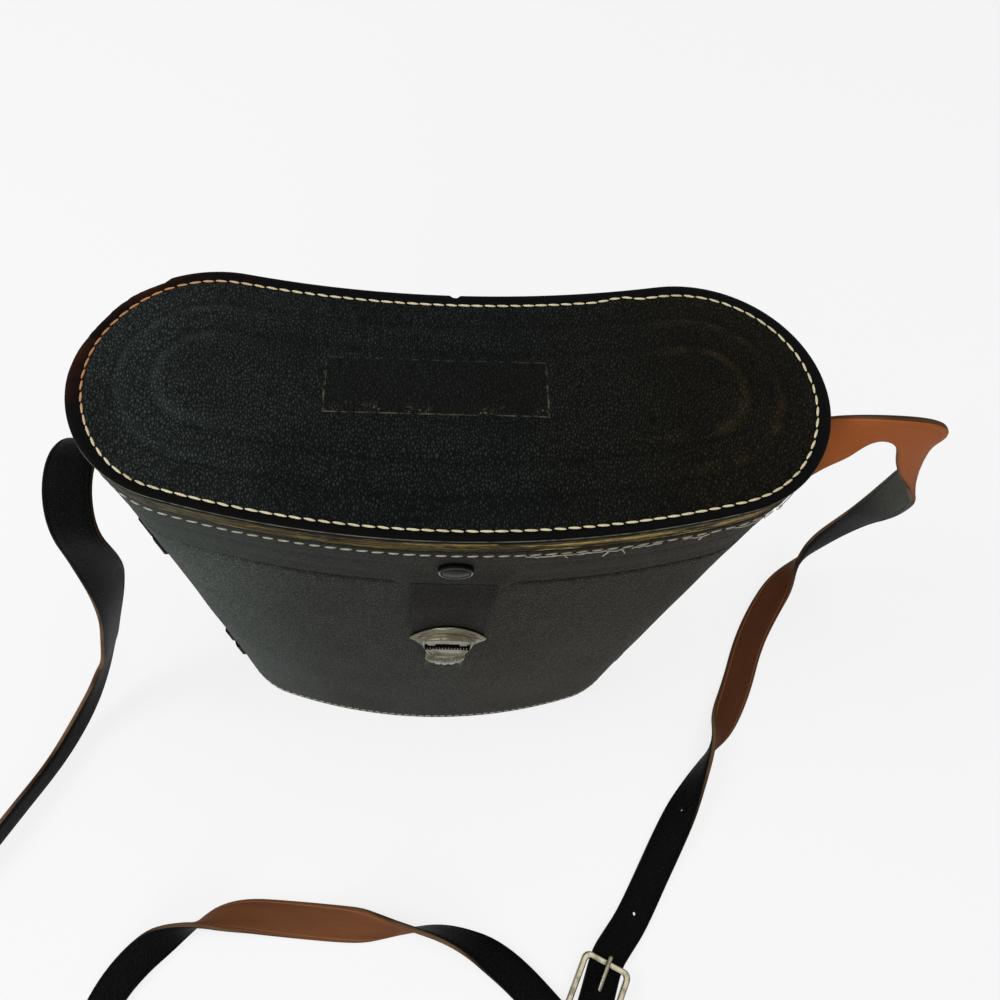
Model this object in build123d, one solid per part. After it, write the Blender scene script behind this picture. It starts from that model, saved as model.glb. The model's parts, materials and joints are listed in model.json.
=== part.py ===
"""Hard leather case for binoculars: tapered bean-shaped body, hinged lid, press latch and carry strap.

Millimetres. +Z is up, +X is to the right and the front of the case, with its latch, looks along -Y.
The origin is under the middle of the case, on the surface that it stands on.
"""
from build123d import *
from collections import namedtuple
from math import atan2, ceil, cos, degrees, hypot, radians, sin, sqrt, tan
import os

os.makedirs("parts", exist_ok=True)

# An outline like a bean: two round ends, a bulged front and a hollowed back.
Bean = namedtuple("Bean", "half_width end_radius bulge dip")

# ---- case ----
case_height = 230.0        # floor to the lid's upper edge
lid_height = 38.0          # lid, from the parting line to its upper edge
parting_height = case_height - lid_height
parting_gap = 0.3
ends_y = 7.0               # how far behind the origin the centres of the round ends lie
foot_line = Bean(95.5, 34.6, 9.4, 5.7)
rim_line = Bean(105.2, 36.1, 9.3, 6.4)
crown_line = Bean(108.0, 38.9, 9.3, 6.4)
wall = 3.0                 # leather wall
fit_gap = 0.1              # between layers that are glued or sewn together

# ---- inside the body ----
base_thick = 3.5
pad_thick = 3.0
board_thick = 2.0          # stiff sleeve inside the wall, which stands up as the neck
lining_thick = 1.0
neck_rise = 14.0
neck_root_drop = 2.0       # the neck starts this far below the parting line
neck_clearance = 0.5       # neck to the lid's wall at the parting line
neck_lean = 1.5            # how far the neck leans in over its height

# ---- lid ----
edge_band = 10.0           # layered edge of the lid, from the top of its wall to its upper edge
welt_width = 7.5
welt_set_in = 0.5
top_step_rise = 0.8        # each pressed step of the lid's top
top_step_inset = (13.0, 24.0)
lid_board_thick = 2.0
lid_felt_thick = 1.5

# ---- leather hinge at the back ----
hinge_width = 90.0
hinge_leather = 2.2
hinge_seat = 0.2
hinge_reach = 30.0         # each leaf, away from the parting line
hinge_fold = 8.0           # height of the packed fold on each leaf
hinge_behind_rim = 0.7     # axis, behind the rearmost point of the rim

# ---- hasp ----
hasp_x = 2.5
hasp_width = 26.0
hasp_leather = 2.2
hasp_foot = 2.0            # leather where it comes out under the lid's edge
hasp_root_height = 21.0
hasp_side_play = 0.4
hasp_stand_off = 0.3       # tab to the wall behind it
hasp_axis_rise = 1.4       # hinge line of the tab above the parting line
latch_lift = parting_height - 192.0  # the latch moves with the parting line
hasp_end_height = 148.0 + latch_lift  # lower end of the leather tab
rivet_height = parting_height + 14.5
rivet_x = 2.0
rivet_radius = 5.1
rivet_rim = 1.0
rivet_post_radius = 1.6
rivet_head = 1.5
rivet_inlay = 0.5
washer_radius = 4.0
washer_thick = 0.8

# ---- latch plate on the hasp ----
plate_top = 159.0 + latch_lift
plate_tip = (13.3, 148.5 + latch_lift)
plate_corner = (11.2, 144.5 + latch_lift)
plate_waist = (9.0, 140.0 + latch_lift)
plate_foot = (7.1, 132.6 + latch_lift)
plate_foot_z = 131.6 + latch_lift
plate_thick = 1.2
panel_rise = 1.3           # raised panel of the plate, in front of its flange
panel_top = (9.6, 151.0 + latch_lift)
panel_crown = 154.0 + latch_lift
slot_half_width = 7.9
slot_bottom = 141.0 + latch_lift
slot_top = 146.4 + latch_lift
bead = 0.8                 # beads beside the raised panel
prong_x = 8.0
prong_z = 155.0 + latch_lift
prong_size = (1.6, 0.8)

# ---- lock on the body ----
lock_half_width = 6.9
lock_bottom = 108.4 + latch_lift
lock_top = 147.2 + latch_lift
lock_plate = 0.8
lock_gap = 0.1
ear_half_width = 10.4
ear_bottom = 139.4 + latch_lift
rail_top = 139.0 + latch_lift
rail_bottom = 112.4 + latch_lift
rail_depth = 1.7
lip_thick = 0.5
lip_overlap = 1.0
slider_half_width = 4.0
slider_thick = 1.0
slider_play = 0.1
slider_bottom = 118.0 + latch_lift
head_half_width = 6.8
head_bottom = 141.4 + latch_lift
head_top = 146.2 + latch_lift
nose_bottom = 143.6 + latch_lift
nose_top = 145.9 + latch_lift
nose_inner = 4.2
nose_setback = 0.2         # behind the face of the raised panel
button_half_width = 7.1
button_bottom = 120.4 + latch_lift
button_top = 131.0 + latch_lift
button_stem = 2.8
button_edge_depth = 0.7
button_bulge = 2.3
button_facets = 7
button_travel = 2.0
spring_strip = 0.4
spring_wide = 1.0
spring_turns = 3
spring_half_width = 3.0
lock_rivet_radius = 0.9
lock_rivets_at = ((8.65, 143.4 + latch_lift), (4.8, 110.5 + latch_lift))
lock_rivet_head = 0.5

# ---- strap and its loops ----
strap_width = 15.0
strap_thick = 2.5
straight_step = 5.0        # longest facet of the strap on a straight run
bend_step = 8.0            # largest turn of one facet, in degrees
strap_seat = 0.15          # strap to wall
strap_bottom_z = 2.5
strap_exit_z = 154.2
anchor_z = 7.2
loop_heights = (18.0, 147.0)
loop_tall = 13.0
loop_leather = 2.0
loop_play = 0.3
loop_foot = 7.0
rivet_shank = 1.2
rivet_dome = 2.6
rivet_dome_rise = 0.9
rivet_tail = 0.6
rivet_bore_play = 0.1

# ---- buckle ----
buckle_at = (80.0, -145.0)  # middle of the outer bar
buckle_heading = -116.0     # degrees, from the outer bar to the hinge bar
buckle_bar = 2.6
buckle_width = 22.5
buckle_length = 24.0
strap_lift = 4.4           # strap centre where it crosses over its own lower stretch
prong_radius = 0.9
prong_eye = 2.5
prong_eye_width = 3.0
prong_swing_slot = (6.3, 21.6)
prong_slot_width = 3.4
prong_overhang = 2.6
eye_gap = 0.15
eye_start = 28.0
eye_end = 43.0
keeper_at = 50.5
keeper_wide = 6.0
keeper_leather = 1.3
tip_at = 62.0
strap_hole = 2.6

# Each strap route: corner (x, y, z) of the centre line, then the way its grained face looks.
short_route = [
    (-104.72, 7, 154.2, -1, 0, -0.05),
    (-105.29, 7, 165.5, -1, 0, -0.05),
    (-113.5, 13.2, 177, -0.45, 0.9, 0),
    (-115.5, 10.7, 188.8, -0.05, 0.8, 0.6),
    (-117, 0.6, 196.1, 0, 0.23, 0.97),
    (-116.8, -12.3, 194.9, 0, -0.45, 0.89),
    (-116.2, -21.5, 184.8, 0, -0.92, 0.39),
    (-116.9, -21.1, 163, 0.25, -1, 0),
    (-120, -20, 140, 0.75, -0.65, 0),
    (-126, -20.5, 114, 0.95, -0.35, 0.05),
    (-135, -21, 86, 0.98, -0.25, 0.06),
    (-143, -21.2, 61, 0.98, -0.2, 0.08),
    (-151.4, -20.7, 40.3, 0.98, -0.2, 0.08),
    (-158.5, -27.7, 24.1, 1, -0.2, 0.1),
    (-165.6, -38.7, 13.3, 1, -0.3, 0.1),
    (-172.7, -52.3, 8, 0.95, -0.4, 0.05),
    (-179.3, -66.3, 7.7, 0.9, -0.42, 0),
    (-190, -84, 7.9, 0.88, -0.47, 0),
    (-203, -106, 7.9, 0.9, -0.4, 0),
    (-219.4, -131.7, 7.9, 0.9, -0.4, 0),
    (-236.6, -159.6, 8.45, 1, -0.1, 0.1),
    (-235.5, -189.7, 7.75, 0.8, 0.4, 0.4),
    (-217.1, -213.3, 5.05, 0.3, 0.3, 1),
    (-188.2, -220.7, 2.8, 0, 0.1, 1),
    (-160.6, -208.9, 2, 0, 0.1, 1),
    (-144.6, -183, 1.8, 0, 0.1, 1),
    (-138.1, -158.9, 2.2, 0.05, 0.1, 1),
    (-123.1, -141, 4.85, 0.1, -0.3, 1),
    (-105.8, -131.7, 8.75, 0.3, -1, 0.2),
    (-86, -126.8, 6.15, 0.1, -0.6, -1),
    (-62, -128.5, 2.25, 0, -0.1, -1),
    (-36, -130.5, 3.1, 0, 0.1, -1),
    (-11, -131.7, 8.75, 0.05, 1, -0.2),
    (12, -134, 7.65, 0.4, 1, 0.6),
    (35, -145.5, 3.15, 0.1, 0.1, 1),
    (58, -168, 1.5, 0, 0, 1),
    (82, -194, 1.4, 0, 0, 1),
    (106, -219, 1.4, 0, 0, 1),
    (125.9, -242.5, 1.4, 0, 0, 1),
    (132.9, -271, 1.4, 0, 0, 1),
    (123.6, -298.8, 1.4, 0, 0, 1),
    (100.8, -317.1, 1.4, 0, 0, 1),
    (71.6, -319.9, 1.4, 0, 0, 1),
    (45.6, -306.5, 1.4, 0, 0, 1),
    (30.5, -281.1, 1.4, 0, 0, 1),
    (30, -253, 1.8, 0, 0, 1),
    (41.9, -225.9, 3.2, 0, 0, 1),
    (53.7, -198.9, 4.4, 0, 0, 1),
    (67.7, -170.2, 4.4, 0, 0, 1),
]
long_route = [
    (104.72, 7, 154.2, 1, 0, -0.05),
    (105.4, 7, 168, 1, 0.05, -0.1),
    (110, 5.5, 185, 0.95, 0.2, -0.15),
    (111.2, 5, 197, 0.9, 0.4, -0.3),
    (113.8, 3.9, 208.8, 0.75, 0.6, -0.3),
    (122.6, 3.3, 217.2, 0.3, 0.95, 0),
    (134.6, 3.8, 218.5, 0, 0.98, 0.15),
    (145.8, 5.4, 211.8, -0.1, 1, 0.05),
    (156.9, 12, 189.1, -0.3, 0.8, -0.3),
    (176, 22, 160, -0.7, 0.5, -0.5),
    (190, 31, 128, -0.9, -0.4, -0.3),
    (197, 38, 95, -0.5, -0.9, 0),
    (202.5, 46.8, 64.3, -0.1, -1, 0.15),
    (199.6, 48.4, 41.8, 0.15, -0.95, 0.05),
    (194.2, 44, 24.6, 0.4, -0.8, -0.4),
    (186.4, 34, 11, 0.3, -0.4, -0.85),
    (177.3, 19.9, 3, 0.1, -0.1, -1),
    (167.5, 3, 1.4, 0, 0, -1),
    (158.5, -19, 1.6, 0, 0.05, -1),
    (148, -37, 4.7, -0.3, 0.1, -1),
    (138, -53, 8.6, -1, 0.6, -0.1),
    (128, -69, 7.7, -0.8, 0.5, 0.5),
    (117.5, -87, 4.4, -0.35, 0.2, 1),
    (105.9, -107.2, 1.7, 0, 0, 1),
    (93.8, -127.4, 1.7, 0, 0, 1),
    (86.3, -136.2, 3.3, 0, 0, 1),
]
strap_tip_route = [
    long_route[-1],
    (81.15, -142.24, 4.4, 0, 0, 1),
    (78.6, -147.9, 4.4, 0, 0, 1),
    (71.6, -162.2, 12.5, 0, 0, 1),
    (67, -171.5, 12.5, 0, 0, 1),
    (63.5, -178.8, 9.75, 0, 0, 1),
]

half_gap = parting_gap / 2
body_top = parting_height - half_gap
lid_foot = parting_height + half_gap
skirt_top = case_height - edge_band
board_floor = base_thick + fit_gap


# ---------------------------------------------------------------- outlines

def line_at(z):
    """Outline of the case's outer face at height z."""
    low, high, z0, z1 = foot_line, rim_line, 0.0, parting_height
    if z > parting_height:
        low, high, z0, z1 = rim_line, crown_line, parting_height, case_height
    share = (z - z0) / (z1 - z0)
    return Bean(*(a + (b - a) * share for a, b in zip(low, high)))


def bean_face(bean, z, grow=0.0):
    """Flat bean at height z, moved outwards by grow."""
    reach = bean.half_width - bean.end_radius
    r = bean.end_radius + grow
    front_r = r + (reach ** 2 + bean.bulge ** 2) / (2 * bean.bulge)
    back_r = (reach ** 2 + bean.dip ** 2) / (2 * bean.dip) - r
    front_y = front_r - r - bean.bulge
    back_y = r - bean.dip + back_r
    front = (reach + r * reach / (front_r - r), -r * front_y / (front_r - r))
    back = (reach - r * reach / (back_r + r), r * back_y / (back_r + r))

    def at(x, y):
        return (x, y + ends_y, z)

    wire = Wire([
        ThreePointArc(at(-front[0], front[1]), at(0, -r - bean.bulge), at(*front)),
        ThreePointArc(at(*front), at(reach + r, 0), at(*back)),
        ThreePointArc(at(*back), at(0, r - bean.dip), at(-back[0], back[1])),
        ThreePointArc(at(-back[0], back[1]), at(-reach - r, 0), at(-front[0], front[1])),
    ])
    return Face(wire)


def block(z0, z1, grow=0.0, grow_top=None):
    """Solid bean between two heights, following the taper of the case."""
    top = grow if grow_top is None else grow_top
    return loft([bean_face(line_at(z0), z0, grow), bean_face(line_at(z1), z1, top)], ruled=True)


def sleeve(z0, z1, outer, inner):
    """Bean-shaped tube between two offsets from the outer face."""
    return block(z0, z1, outer) - block(z0, z1, inner)


def box(x0, x1, y0, y1, z0, z1):
    return Pos((x0 + x1) / 2, (y0 + y1) / 2, (z0 + z1) / 2) * Box(x1 - x0, y1 - y0, z1 - z0)


def hasp_box(half, y0, y1, z0, z1):
    return box(hasp_x - half, hasp_x + half, y0, y1, z0, z1)


def front_y(z, grow=0.0):
    bean = line_at(z)
    return ends_y - bean.end_radius - bean.bulge - grow


def rod(plane, radius, start, end):
    """Round bar along the plane's normal, between two distances from it."""
    return plane * (Pos(0, 0, (start + end) / 2) * Cylinder(radius, end - start))


def holes(plane_list, radius, start, end):
    return [rod(plane, radius, start, end) for plane in plane_list]


# ---------------------------------------------------------------- body and its layers

body_shell = sleeve(0, body_top, 0, -wall)
base_panel = block(0, base_thick, -wall - fit_gap)
bottom_pad = block(board_floor, board_floor + pad_thick, -wall - 3 * fit_gap - board_thick - lining_thick)

board_out = -wall - fit_gap
neck_z = parting_height - neck_root_drop
neck_out = -wall - neck_clearance
inner_liner = sleeve(board_floor, neck_z, board_out, board_out - board_thick)
neck = block(neck_z, parting_height + neck_rise, neck_out, neck_out - neck_lean)
neck -= block(neck_z, parting_height + neck_rise, neck_out - board_thick, neck_out - board_thick - neck_lean)
neck_notch = box(hasp_x - 16, hasp_x + 16, -60, 0, body_top - 1, parting_height + neck_rise + 5)
inner_liner = inner_liner + (neck - neck_notch)

lining_out = board_out - board_thick - fit_gap
body_lining = sleeve(board_floor, neck_z - 1, lining_out, lining_out - lining_thick)

# ---------------------------------------------------------------- lid

lid_skirt = sleeve(lid_foot, skirt_top, 0, -wall)
welt_z = skirt_top + fit_gap
top_z = case_height - wall
lid_welt = block(welt_z, top_z - fit_gap, -welt_set_in)
lid_welt -= block(welt_z, top_z - fit_gap, -welt_set_in - welt_width)
board_edge = -welt_set_in - welt_width - fit_gap
board_top = top_z - fit_gap
lid_board = block(board_top - lid_board_thick, board_top, board_edge)
felt_top = board_top - lid_board_thick - fit_gap
lid_lining = block(felt_top - lid_felt_thick, felt_top, board_edge)

lid_top = block(top_z, case_height, 0)
lid_top = fillet(lid_top.edges().group_by(Axis.Z)[-1], 1.2)
for step, inset in enumerate(top_step_inset):
    low = case_height + step * top_step_rise
    face = bean_face(crown_line, low - 0.5, -inset)
    lid_top += loft([face, bean_face(crown_line, low + top_step_rise, -inset - 1.6)], ruled=True)

# ---------------------------------------------------------------- leather hinge

axis_y = ends_y + rim_line.end_radius + hinge_behind_rim
leaf_face_y = axis_y - 0.15


def hinge_leaf(z0, z1, fold_z0, fold_z1):
    """Leather leaf on the back wall, with its share of the packed fold near the hinge line."""
    strip = sleeve(z0, z1, hinge_seat + hinge_leather, hinge_seat)
    leaf = strip & box(-hinge_width / 2, hinge_width / 2, 10, 80, z0, z1)
    outside = block(fold_z0, fold_z1, hinge_seat)
    far = fold_z0 if fold_z0 < fold_z1 and z0 < fold_z0 else fold_z1
    near = fold_z1 if far == fold_z0 else fold_z0
    side = Plane.YZ * Polygon((20, near), (leaf_face_y, near), (leaf_face_y, near + (far - near) * 0.3),
                              (36.6, far), (20, far), align=None)
    fold = extrude(side, hinge_width / 2, both=True) - outside
    return leaf + fold


hinge_leaf_case = hinge_leaf(parting_height - hinge_reach, body_top, body_top - hinge_fold, body_top)
hinge_leaf_lid = hinge_leaf(lid_foot, skirt_top - 1, lid_foot, lid_foot + hinge_fold)

# ---------------------------------------------------------------- hasp of the lid

root_top = parting_height + hasp_root_height
tab_back = front_y(parting_height) - hasp_stand_off
tab_front = tab_back - hasp_leather
hasp_axis_y = (tab_back + tab_front) / 2
hasp_axis_z = parting_height + hasp_axis_rise
foot_z = lid_foot + 0.15
foot_front = hasp_axis_y + hasp_leather / 2 + 0.1

hasp_tab_root = sleeve(foot_z, root_top, -wall - fit_gap, -wall - fit_gap - hasp_leather)
hasp_tab_root &= hasp_box(hasp_width / 2, -60, -20, foot_z, root_top)
hasp_tab_root += hasp_box(hasp_width / 2, foot_front, front_y(foot_z) + wall + 1, foot_z, foot_z + hasp_foot)
lid_skirt -= hasp_box(hasp_width / 2 + hasp_side_play, -60, -20, lid_foot - 1, foot_z + hasp_foot + 0.2)

hasp_tab = hasp_box(hasp_width / 2, tab_front, tab_back, hasp_end_height, hasp_axis_z)
knuckle = Plane(origin=(hasp_x, hasp_axis_y, hasp_axis_z), x_dir=(0, 1, 0), z_dir=(1, 0, 0))
hasp_tab += rod(knuckle, hasp_leather / 2, -hasp_width / 2, hasp_width / 2)

skirt_lean = (front_y(parting_height) - front_y(case_height)) / (case_height - parting_height)
rivet_plane = Plane(origin=(rivet_x, front_y(rivet_height), rivet_height), x_dir=(1, 0, 0),
                    z_dir=(0, -1, -skirt_lean))
rivet_seat = 0.1
hasp_rivet = rod(rivet_plane, rivet_radius, rivet_seat, rivet_seat + rivet_head)
rivet_axis = Axis(rivet_plane.origin, rivet_plane.z_dir)
hasp_rivet = fillet(hasp_rivet.edges().filter_by(GeomType.CIRCLE).sort_by(rivet_axis)[-1], 0.5)
cap_radius = rivet_radius - rivet_rim
hasp_rivet -= rod(rivet_plane, cap_radius, rivet_seat + rivet_head - rivet_inlay, rivet_seat + rivet_head + 1)
washer_front = -wall - hasp_leather - 3 * fit_gap
hasp_rivet += rod(rivet_plane, rivet_post_radius, washer_front - washer_thick - 0.3, rivet_seat + 0.5)
hasp_rivet_cap = rod(rivet_plane, cap_radius - 0.05, rivet_seat + rivet_head - rivet_inlay + 0.02,
                     rivet_seat + rivet_head - 0.1)
hasp_rivet_cap += rivet_plane * (Pos(0, 0, rivet_seat + rivet_head - 0.1)
                                 * (scale(Sphere(cap_radius - 0.05), (1, 1, 0.16))
                                    & Pos(0, 0, 1) * Box(20, 20, 2)))
hasp_washer = rod(rivet_plane, washer_radius, washer_front - washer_thick, washer_front)
hasp_washer -= rod(rivet_plane, rivet_post_radius + 0.05, washer_front - 2, washer_front + 1)
rivet_bore = rod(rivet_plane, rivet_post_radius + 0.1, -12, 2)
lid_skirt -= rivet_bore
hasp_tab_root -= rivet_bore

# ---------------------------------------------------------------- latch plate


def front_plate(points, y_back, depth):
    """Plate drawn as seen from the front, with its back at y_back."""
    flat = Plane(origin=(hasp_x, y_back, 0), x_dir=(1, 0, 0), z_dir=(0, -1, 0))
    return extrude(flat * points, depth)


def crested(right, crown, foot):
    """Outline with straight sides, an arched top and an arched bottom."""
    first, last = right[0], right[-1]
    sides = Polyline(*right)
    other = Polyline(*[(-x, z) for x, z in reversed(right)])
    under = ThreePointArc(last, (0, foot), (-last[0], last[1]))
    over = ThreePointArc((-first[0], first[1]), (0, crown), first)
    return make_face([sides.edges(), under.edges(), other.edges(), over.edges()])


flange_shape = crested([plate_tip, plate_corner, plate_waist, plate_foot], plate_top, plate_foot_z)
panel_shape = crested([panel_top, (9.3, panel_top[1] - 6), (8.7, panel_top[1] - 10.6), (6.9, panel_top[1] - 18)],
                      panel_crown, plate_foot_z + 0.3)
pocket_shape = crested([(8.4, panel_top[1] - 1), (8.2, panel_top[1] - 6), (7.7, panel_top[1] - 10.4),
                        (5.9, plate_foot_z + 0.6)], panel_crown - 1.4, plate_foot_z - 3.1)
plate_back = tab_front - 0.02
panel_front = plate_back - plate_thick - panel_rise
hasp_plate = front_plate(flange_shape, plate_back, plate_thick)
hasp_plate += front_plate(panel_shape, plate_back - 0.5, plate_thick + panel_rise - 0.5)
hasp_plate -= front_plate(pocket_shape, plate_back + 1, 2.3)
hasp_plate -= hasp_box(slot_half_width, panel_front - 1, plate_back + 1, slot_bottom, slot_top)
arch = crested([(10.9, plate_top - 9.4), (10.0, plate_top - 9.6)], plate_top - 2.4, plate_top - 3.6)
hasp_plate += front_plate(arch, plate_back - plate_thick + 0.1, bead + 0.1)
for side in (-1, 1):
    x = hasp_x + side * prong_x
    hasp_plate += box(x - prong_size[0] / 2, x + prong_size[0] / 2, plate_back - 0.3, tab_back - 0.1,
                      prong_z - prong_size[1] / 2, prong_z + prong_size[1] / 2)
    hasp_tab -= box(x - prong_size[0] / 2 - 0.05, x + prong_size[0] / 2 + 0.05, tab_front - 1, tab_back + 1,
                    prong_z - prong_size[1] / 2 - 0.05, prong_z + prong_size[1] / 2 + 0.05)

# ---------------------------------------------------------------- lock on the body

lock_back = front_y(lock_top) - lock_gap
lock_face = lock_back - lock_plate
rail_face = lock_face - rail_depth
slider_back = lock_face - slider_play
slider_face = slider_back - slider_thick
lock_base = hasp_box(lock_half_width, lock_face, lock_back, lock_bottom, ear_bottom)
lock_base += hasp_box(ear_half_width, lock_face, lock_back, ear_bottom, lock_top)
lock_base += hasp_box(lock_half_width, rail_face, lock_face, lock_bottom, rail_top)
lock_base -= hasp_box(slider_half_width + slider_play, rail_face + lip_thick, lock_face, rail_bottom, rail_top + 1)
lock_base -= hasp_box(slider_half_width - lip_overlap, rail_face - 1, lock_face, rail_bottom, rail_top + 1)

catch_slider = hasp_box(slider_half_width, slider_face, slider_back, slider_bottom, head_bottom)
catch_slider += hasp_box(head_half_width, slider_face, slider_back, head_bottom, head_top)
catch_slider += hasp_box(button_stem, rail_face - 0.2, slider_face, button_bottom + 1, button_top - 1)
nose_front = panel_front + nose_setback
for side in (-1, 1):
    x0, x1 = sorted((hasp_x + side * nose_inner, hasp_x + side * head_half_width))
    profile = Plane(origin=(x0, 0, 0), x_dir=(0, 1, 0), z_dir=(1, 0, 0)) * Polygon(
        (slider_back - 0.5, nose_bottom), (slider_back - 0.5, nose_top), (nose_front + 1, nose_top),
        (nose_front, nose_top - 0.5), (nose_front, nose_bottom + 0.6), (nose_front + 1, nose_bottom), align=None)
    catch_slider += extrude(profile, x1 - x0)

drum_back = rail_face - 0.15
drum = []
for i in range(button_facets + 1):
    across = -1 + 2 * i / button_facets
    drum.append((hasp_x + across * button_half_width,
                 drum_back - button_edge_depth - button_bulge * (1 - across ** 2)))
outline = [(drum[0][0], drum_back)] + drum + [(drum[-1][0], drum_back)]
thumb = extrude(Plane.XY.offset(button_bottom) * Polygon(*outline, align=None), button_top - button_bottom)
for (x0, y0), (x1, y1) in zip(drum, drum[1:]):
    flute = Pos((x0 + x1) / 2, (y0 + y1) / 2 - 0.55, 0) * Cylinder(0.95, 2 * button_top + 10)
    thumb -= flute & box(-30, 40, -80, 0, button_bottom - 2, button_bottom + 6.5)
catch_slider += thumb

bar_top = rail_bottom
spring_rise = (slider_bottom - bar_top) / spring_turns
spring_y = (slider_back + slider_face) / 2
corners = []
for i in range(spring_turns):
    low, x_end = bar_top + i * spring_rise, spring_half_width * (1 if i % 2 else -1)
    corners += [(x_end, low), (-x_end, low + spring_rise / 2)]
corners.append((-corners[-1][0], slider_bottom))
spring_flat = Sketch()
for (x0, z0), (x1, z1) in zip(corners, corners[1:]):
    leg = Rectangle(hypot(x1 - x0, z1 - z0), spring_strip) + Pos(-hypot(x1 - x0, z1 - z0) / 2, 0) * Circle(
        spring_strip / 2) + Pos(hypot(x1 - x0, z1 - z0) / 2, 0) * Circle(spring_strip / 2)
    spring_flat += Pos((x0 + x1) / 2, (z0 + z1) / 2) * Rot(0, 0, degrees(atan2(z1 - z0, x1 - x0))) * leg
spring_flat &= Pos(0, (bar_top + slider_bottom) / 2) * Rectangle(9, slider_bottom - bar_top - 0.04)
spring_plane = Plane(origin=(hasp_x, spring_y, 0), x_dir=(1, 0, 0), z_dir=(0, -1, 0))
catch_spring = extrude(spring_plane * spring_flat, spring_wide * 0.4, both=True)

lock_planes = [Plane(origin=(hasp_x + side * x, lock_face, z), x_dir=(1, 0, 0), z_dir=(0, -1, 0))
               for x, z in lock_rivets_at for side in (-1, 1)]
lock_rivets = []
for plane, (x, z) in zip(lock_planes, [at for at in lock_rivets_at for side in (-1, 1)]):
    top = 0.0 if z > ear_bottom else rail_depth
    inner = lock_face - front_y(z, -wall)
    pin = rod(plane, lock_rivet_radius, inner + 0.05, top)
    pin += rod(plane, 1.6, top - lock_rivet_head, top)
    pin += rod(plane, 1.8, inner + 0.15, inner + 0.15 + rivet_tail)
    lock_rivets.append(pin)
    cut = rod(plane, lock_rivet_radius + 0.1, inner - 2, top + 1) + rod(plane, 1.7, top - lock_rivet_head - 0.05, top + 1)
    lock_base -= cut
    body_shell -= rod(plane, lock_rivet_radius + 0.1, inner - 2, 0)
    body_shell -= rod(plane, 1.9, inner - 2, inner + 0.2 + rivet_tail)

# ---------------------------------------------------------------- strap loops and side runs


def wall_plane(side, z, swing=0.0):
    """Plane on an end wall: x goes around the case, y up the wall and z straight out of it."""
    bean = line_at(z)
    reach, r = bean.half_width - bean.end_radius, bean.end_radius
    spread = (rim_line.half_width - rim_line.end_radius - foot_line.half_width + foot_line.end_radius)
    lean = (spread * cos(swing) + rim_line.end_radius - foot_line.end_radius) / parting_height
    return Plane(origin=(side * (reach + r * cos(swing)), ends_y + r * sin(swing), z),
                 x_dir=(-side * sin(swing) * side, side * cos(swing), 0) if swing else (0, side, 0),
                 z_dir=(side * cos(swing), sin(swing), -lean))


strap_mid = strap_seat + strap_thick / 2
loop_seat = fit_gap + 0.05
arch_out = strap_seat + strap_thick + loop_play + loop_leather
arch_half = strap_width / 2 + loop_play + loop_leather


def strap_loop(side, z):
    """Leather loop over the strap: an arch with two feet that follow the round end of the case."""
    here = wall_plane(side, z)
    r = line_at(z).end_radius
    profile = Circle(r + loop_seat + loop_leather) & Pos(0, r) * Rectangle(2 * (arch_half + loop_foot), r)
    profile += Pos(0, r + arch_out / 2 - 2) * RectangleRounded(2 * arch_half, arch_out + 4, 1.7)
    profile -= Circle(r + loop_seat)
    profile -= Pos(0, r + strap_mid) * Rectangle(strap_width + 2 * loop_play, strap_thick + 2 * loop_play)
    flat = Plane(origin=here.origin - here.z_dir * r, x_dir=here.x_dir, z_dir=-here.y_dir)
    return extrude(flat * profile, loop_tall / 2, both=True)


loops, rivet_planes, side_straps = {}, [], {}
lean_cos = cos(atan2(rim_line.half_width - foot_line.half_width, parting_height))
for side, side_name in ((-1, "left"), (1, "right")):
    plane = wall_plane(side, (strap_bottom_z + strap_exit_z) / 2)
    length = (strap_exit_z - strap_bottom_z) / lean_cos
    side_straps[side_name] = plane * (Pos(0, 0, strap_mid) * Box(strap_width, length, strap_thick))
    for level, z in zip(("lower", "upper"), loop_heights):
        name = f"strap_loop_{level}_{side_name}"
        loops[name] = strap_loop(side, z)
        swing = (arch_half + loop_foot / 2) / (line_at(z).end_radius + loop_leather)
        rivet_planes += [(side, z, wall_plane(side, z, s * swing), name) for s in (-1, 1)]

loop_rivets = []
for side, z, plane, name in rivet_planes:
    out = loop_seat + loop_leather + 0.05
    dome = plane * (Pos(0, 0, out) * (scale(Sphere(rivet_dome), (1, 1, rivet_dome_rise / rivet_dome))
                                      & Pos(0, 0, 2) * Box(8, 8, 4)))
    tail_at = -wall + 0.1
    loop_rivets.append(dome + rod(plane, rivet_shank, tail_at, out + 0.2)
                       + rod(plane, 2.0, tail_at, tail_at + rivet_tail))
    bore = rivet_shank + rivet_bore_play
    loops[name] -= rod(plane, bore, -1, out + 2)
    body_shell -= rod(plane, bore, -wall - 2, 1) + rod(plane, 2.1, -wall - 2, tail_at + rivet_tail + 0.1)

anchor_rivets = []
for side, side_name in ((-1, "left"), (1, "right")):
    plane = wall_plane(side, anchor_z)
    out = strap_seat + strap_thick + 0.05
    dome = plane * (Pos(0, 0, out) * (scale(Sphere(rivet_dome), (1, 1, rivet_dome_rise / rivet_dome))
                                      & Pos(0, 0, 2) * Box(8, 8, 4)))
    tail_at = -wall + 0.1
    anchor_rivets.append(dome + rod(plane, rivet_shank, tail_at, out + 0.2)
                         + rod(plane, 2.0, tail_at, tail_at + rivet_tail))
    bore = rivet_shank + rivet_bore_play
    side_straps[side_name] -= rod(plane, bore, -2, out + 2)
    body_shell -= rod(plane, bore, -wall - 2, 1) + rod(plane, 2.1, -wall - 2, tail_at + rivet_tail + 0.1)

# ---------------------------------------------------------------- free strap


def squared(look, along):
    """Unit vector nearest to a way of looking that is square to the run."""
    return (look - along * look.dot(along)).normalized()


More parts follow.
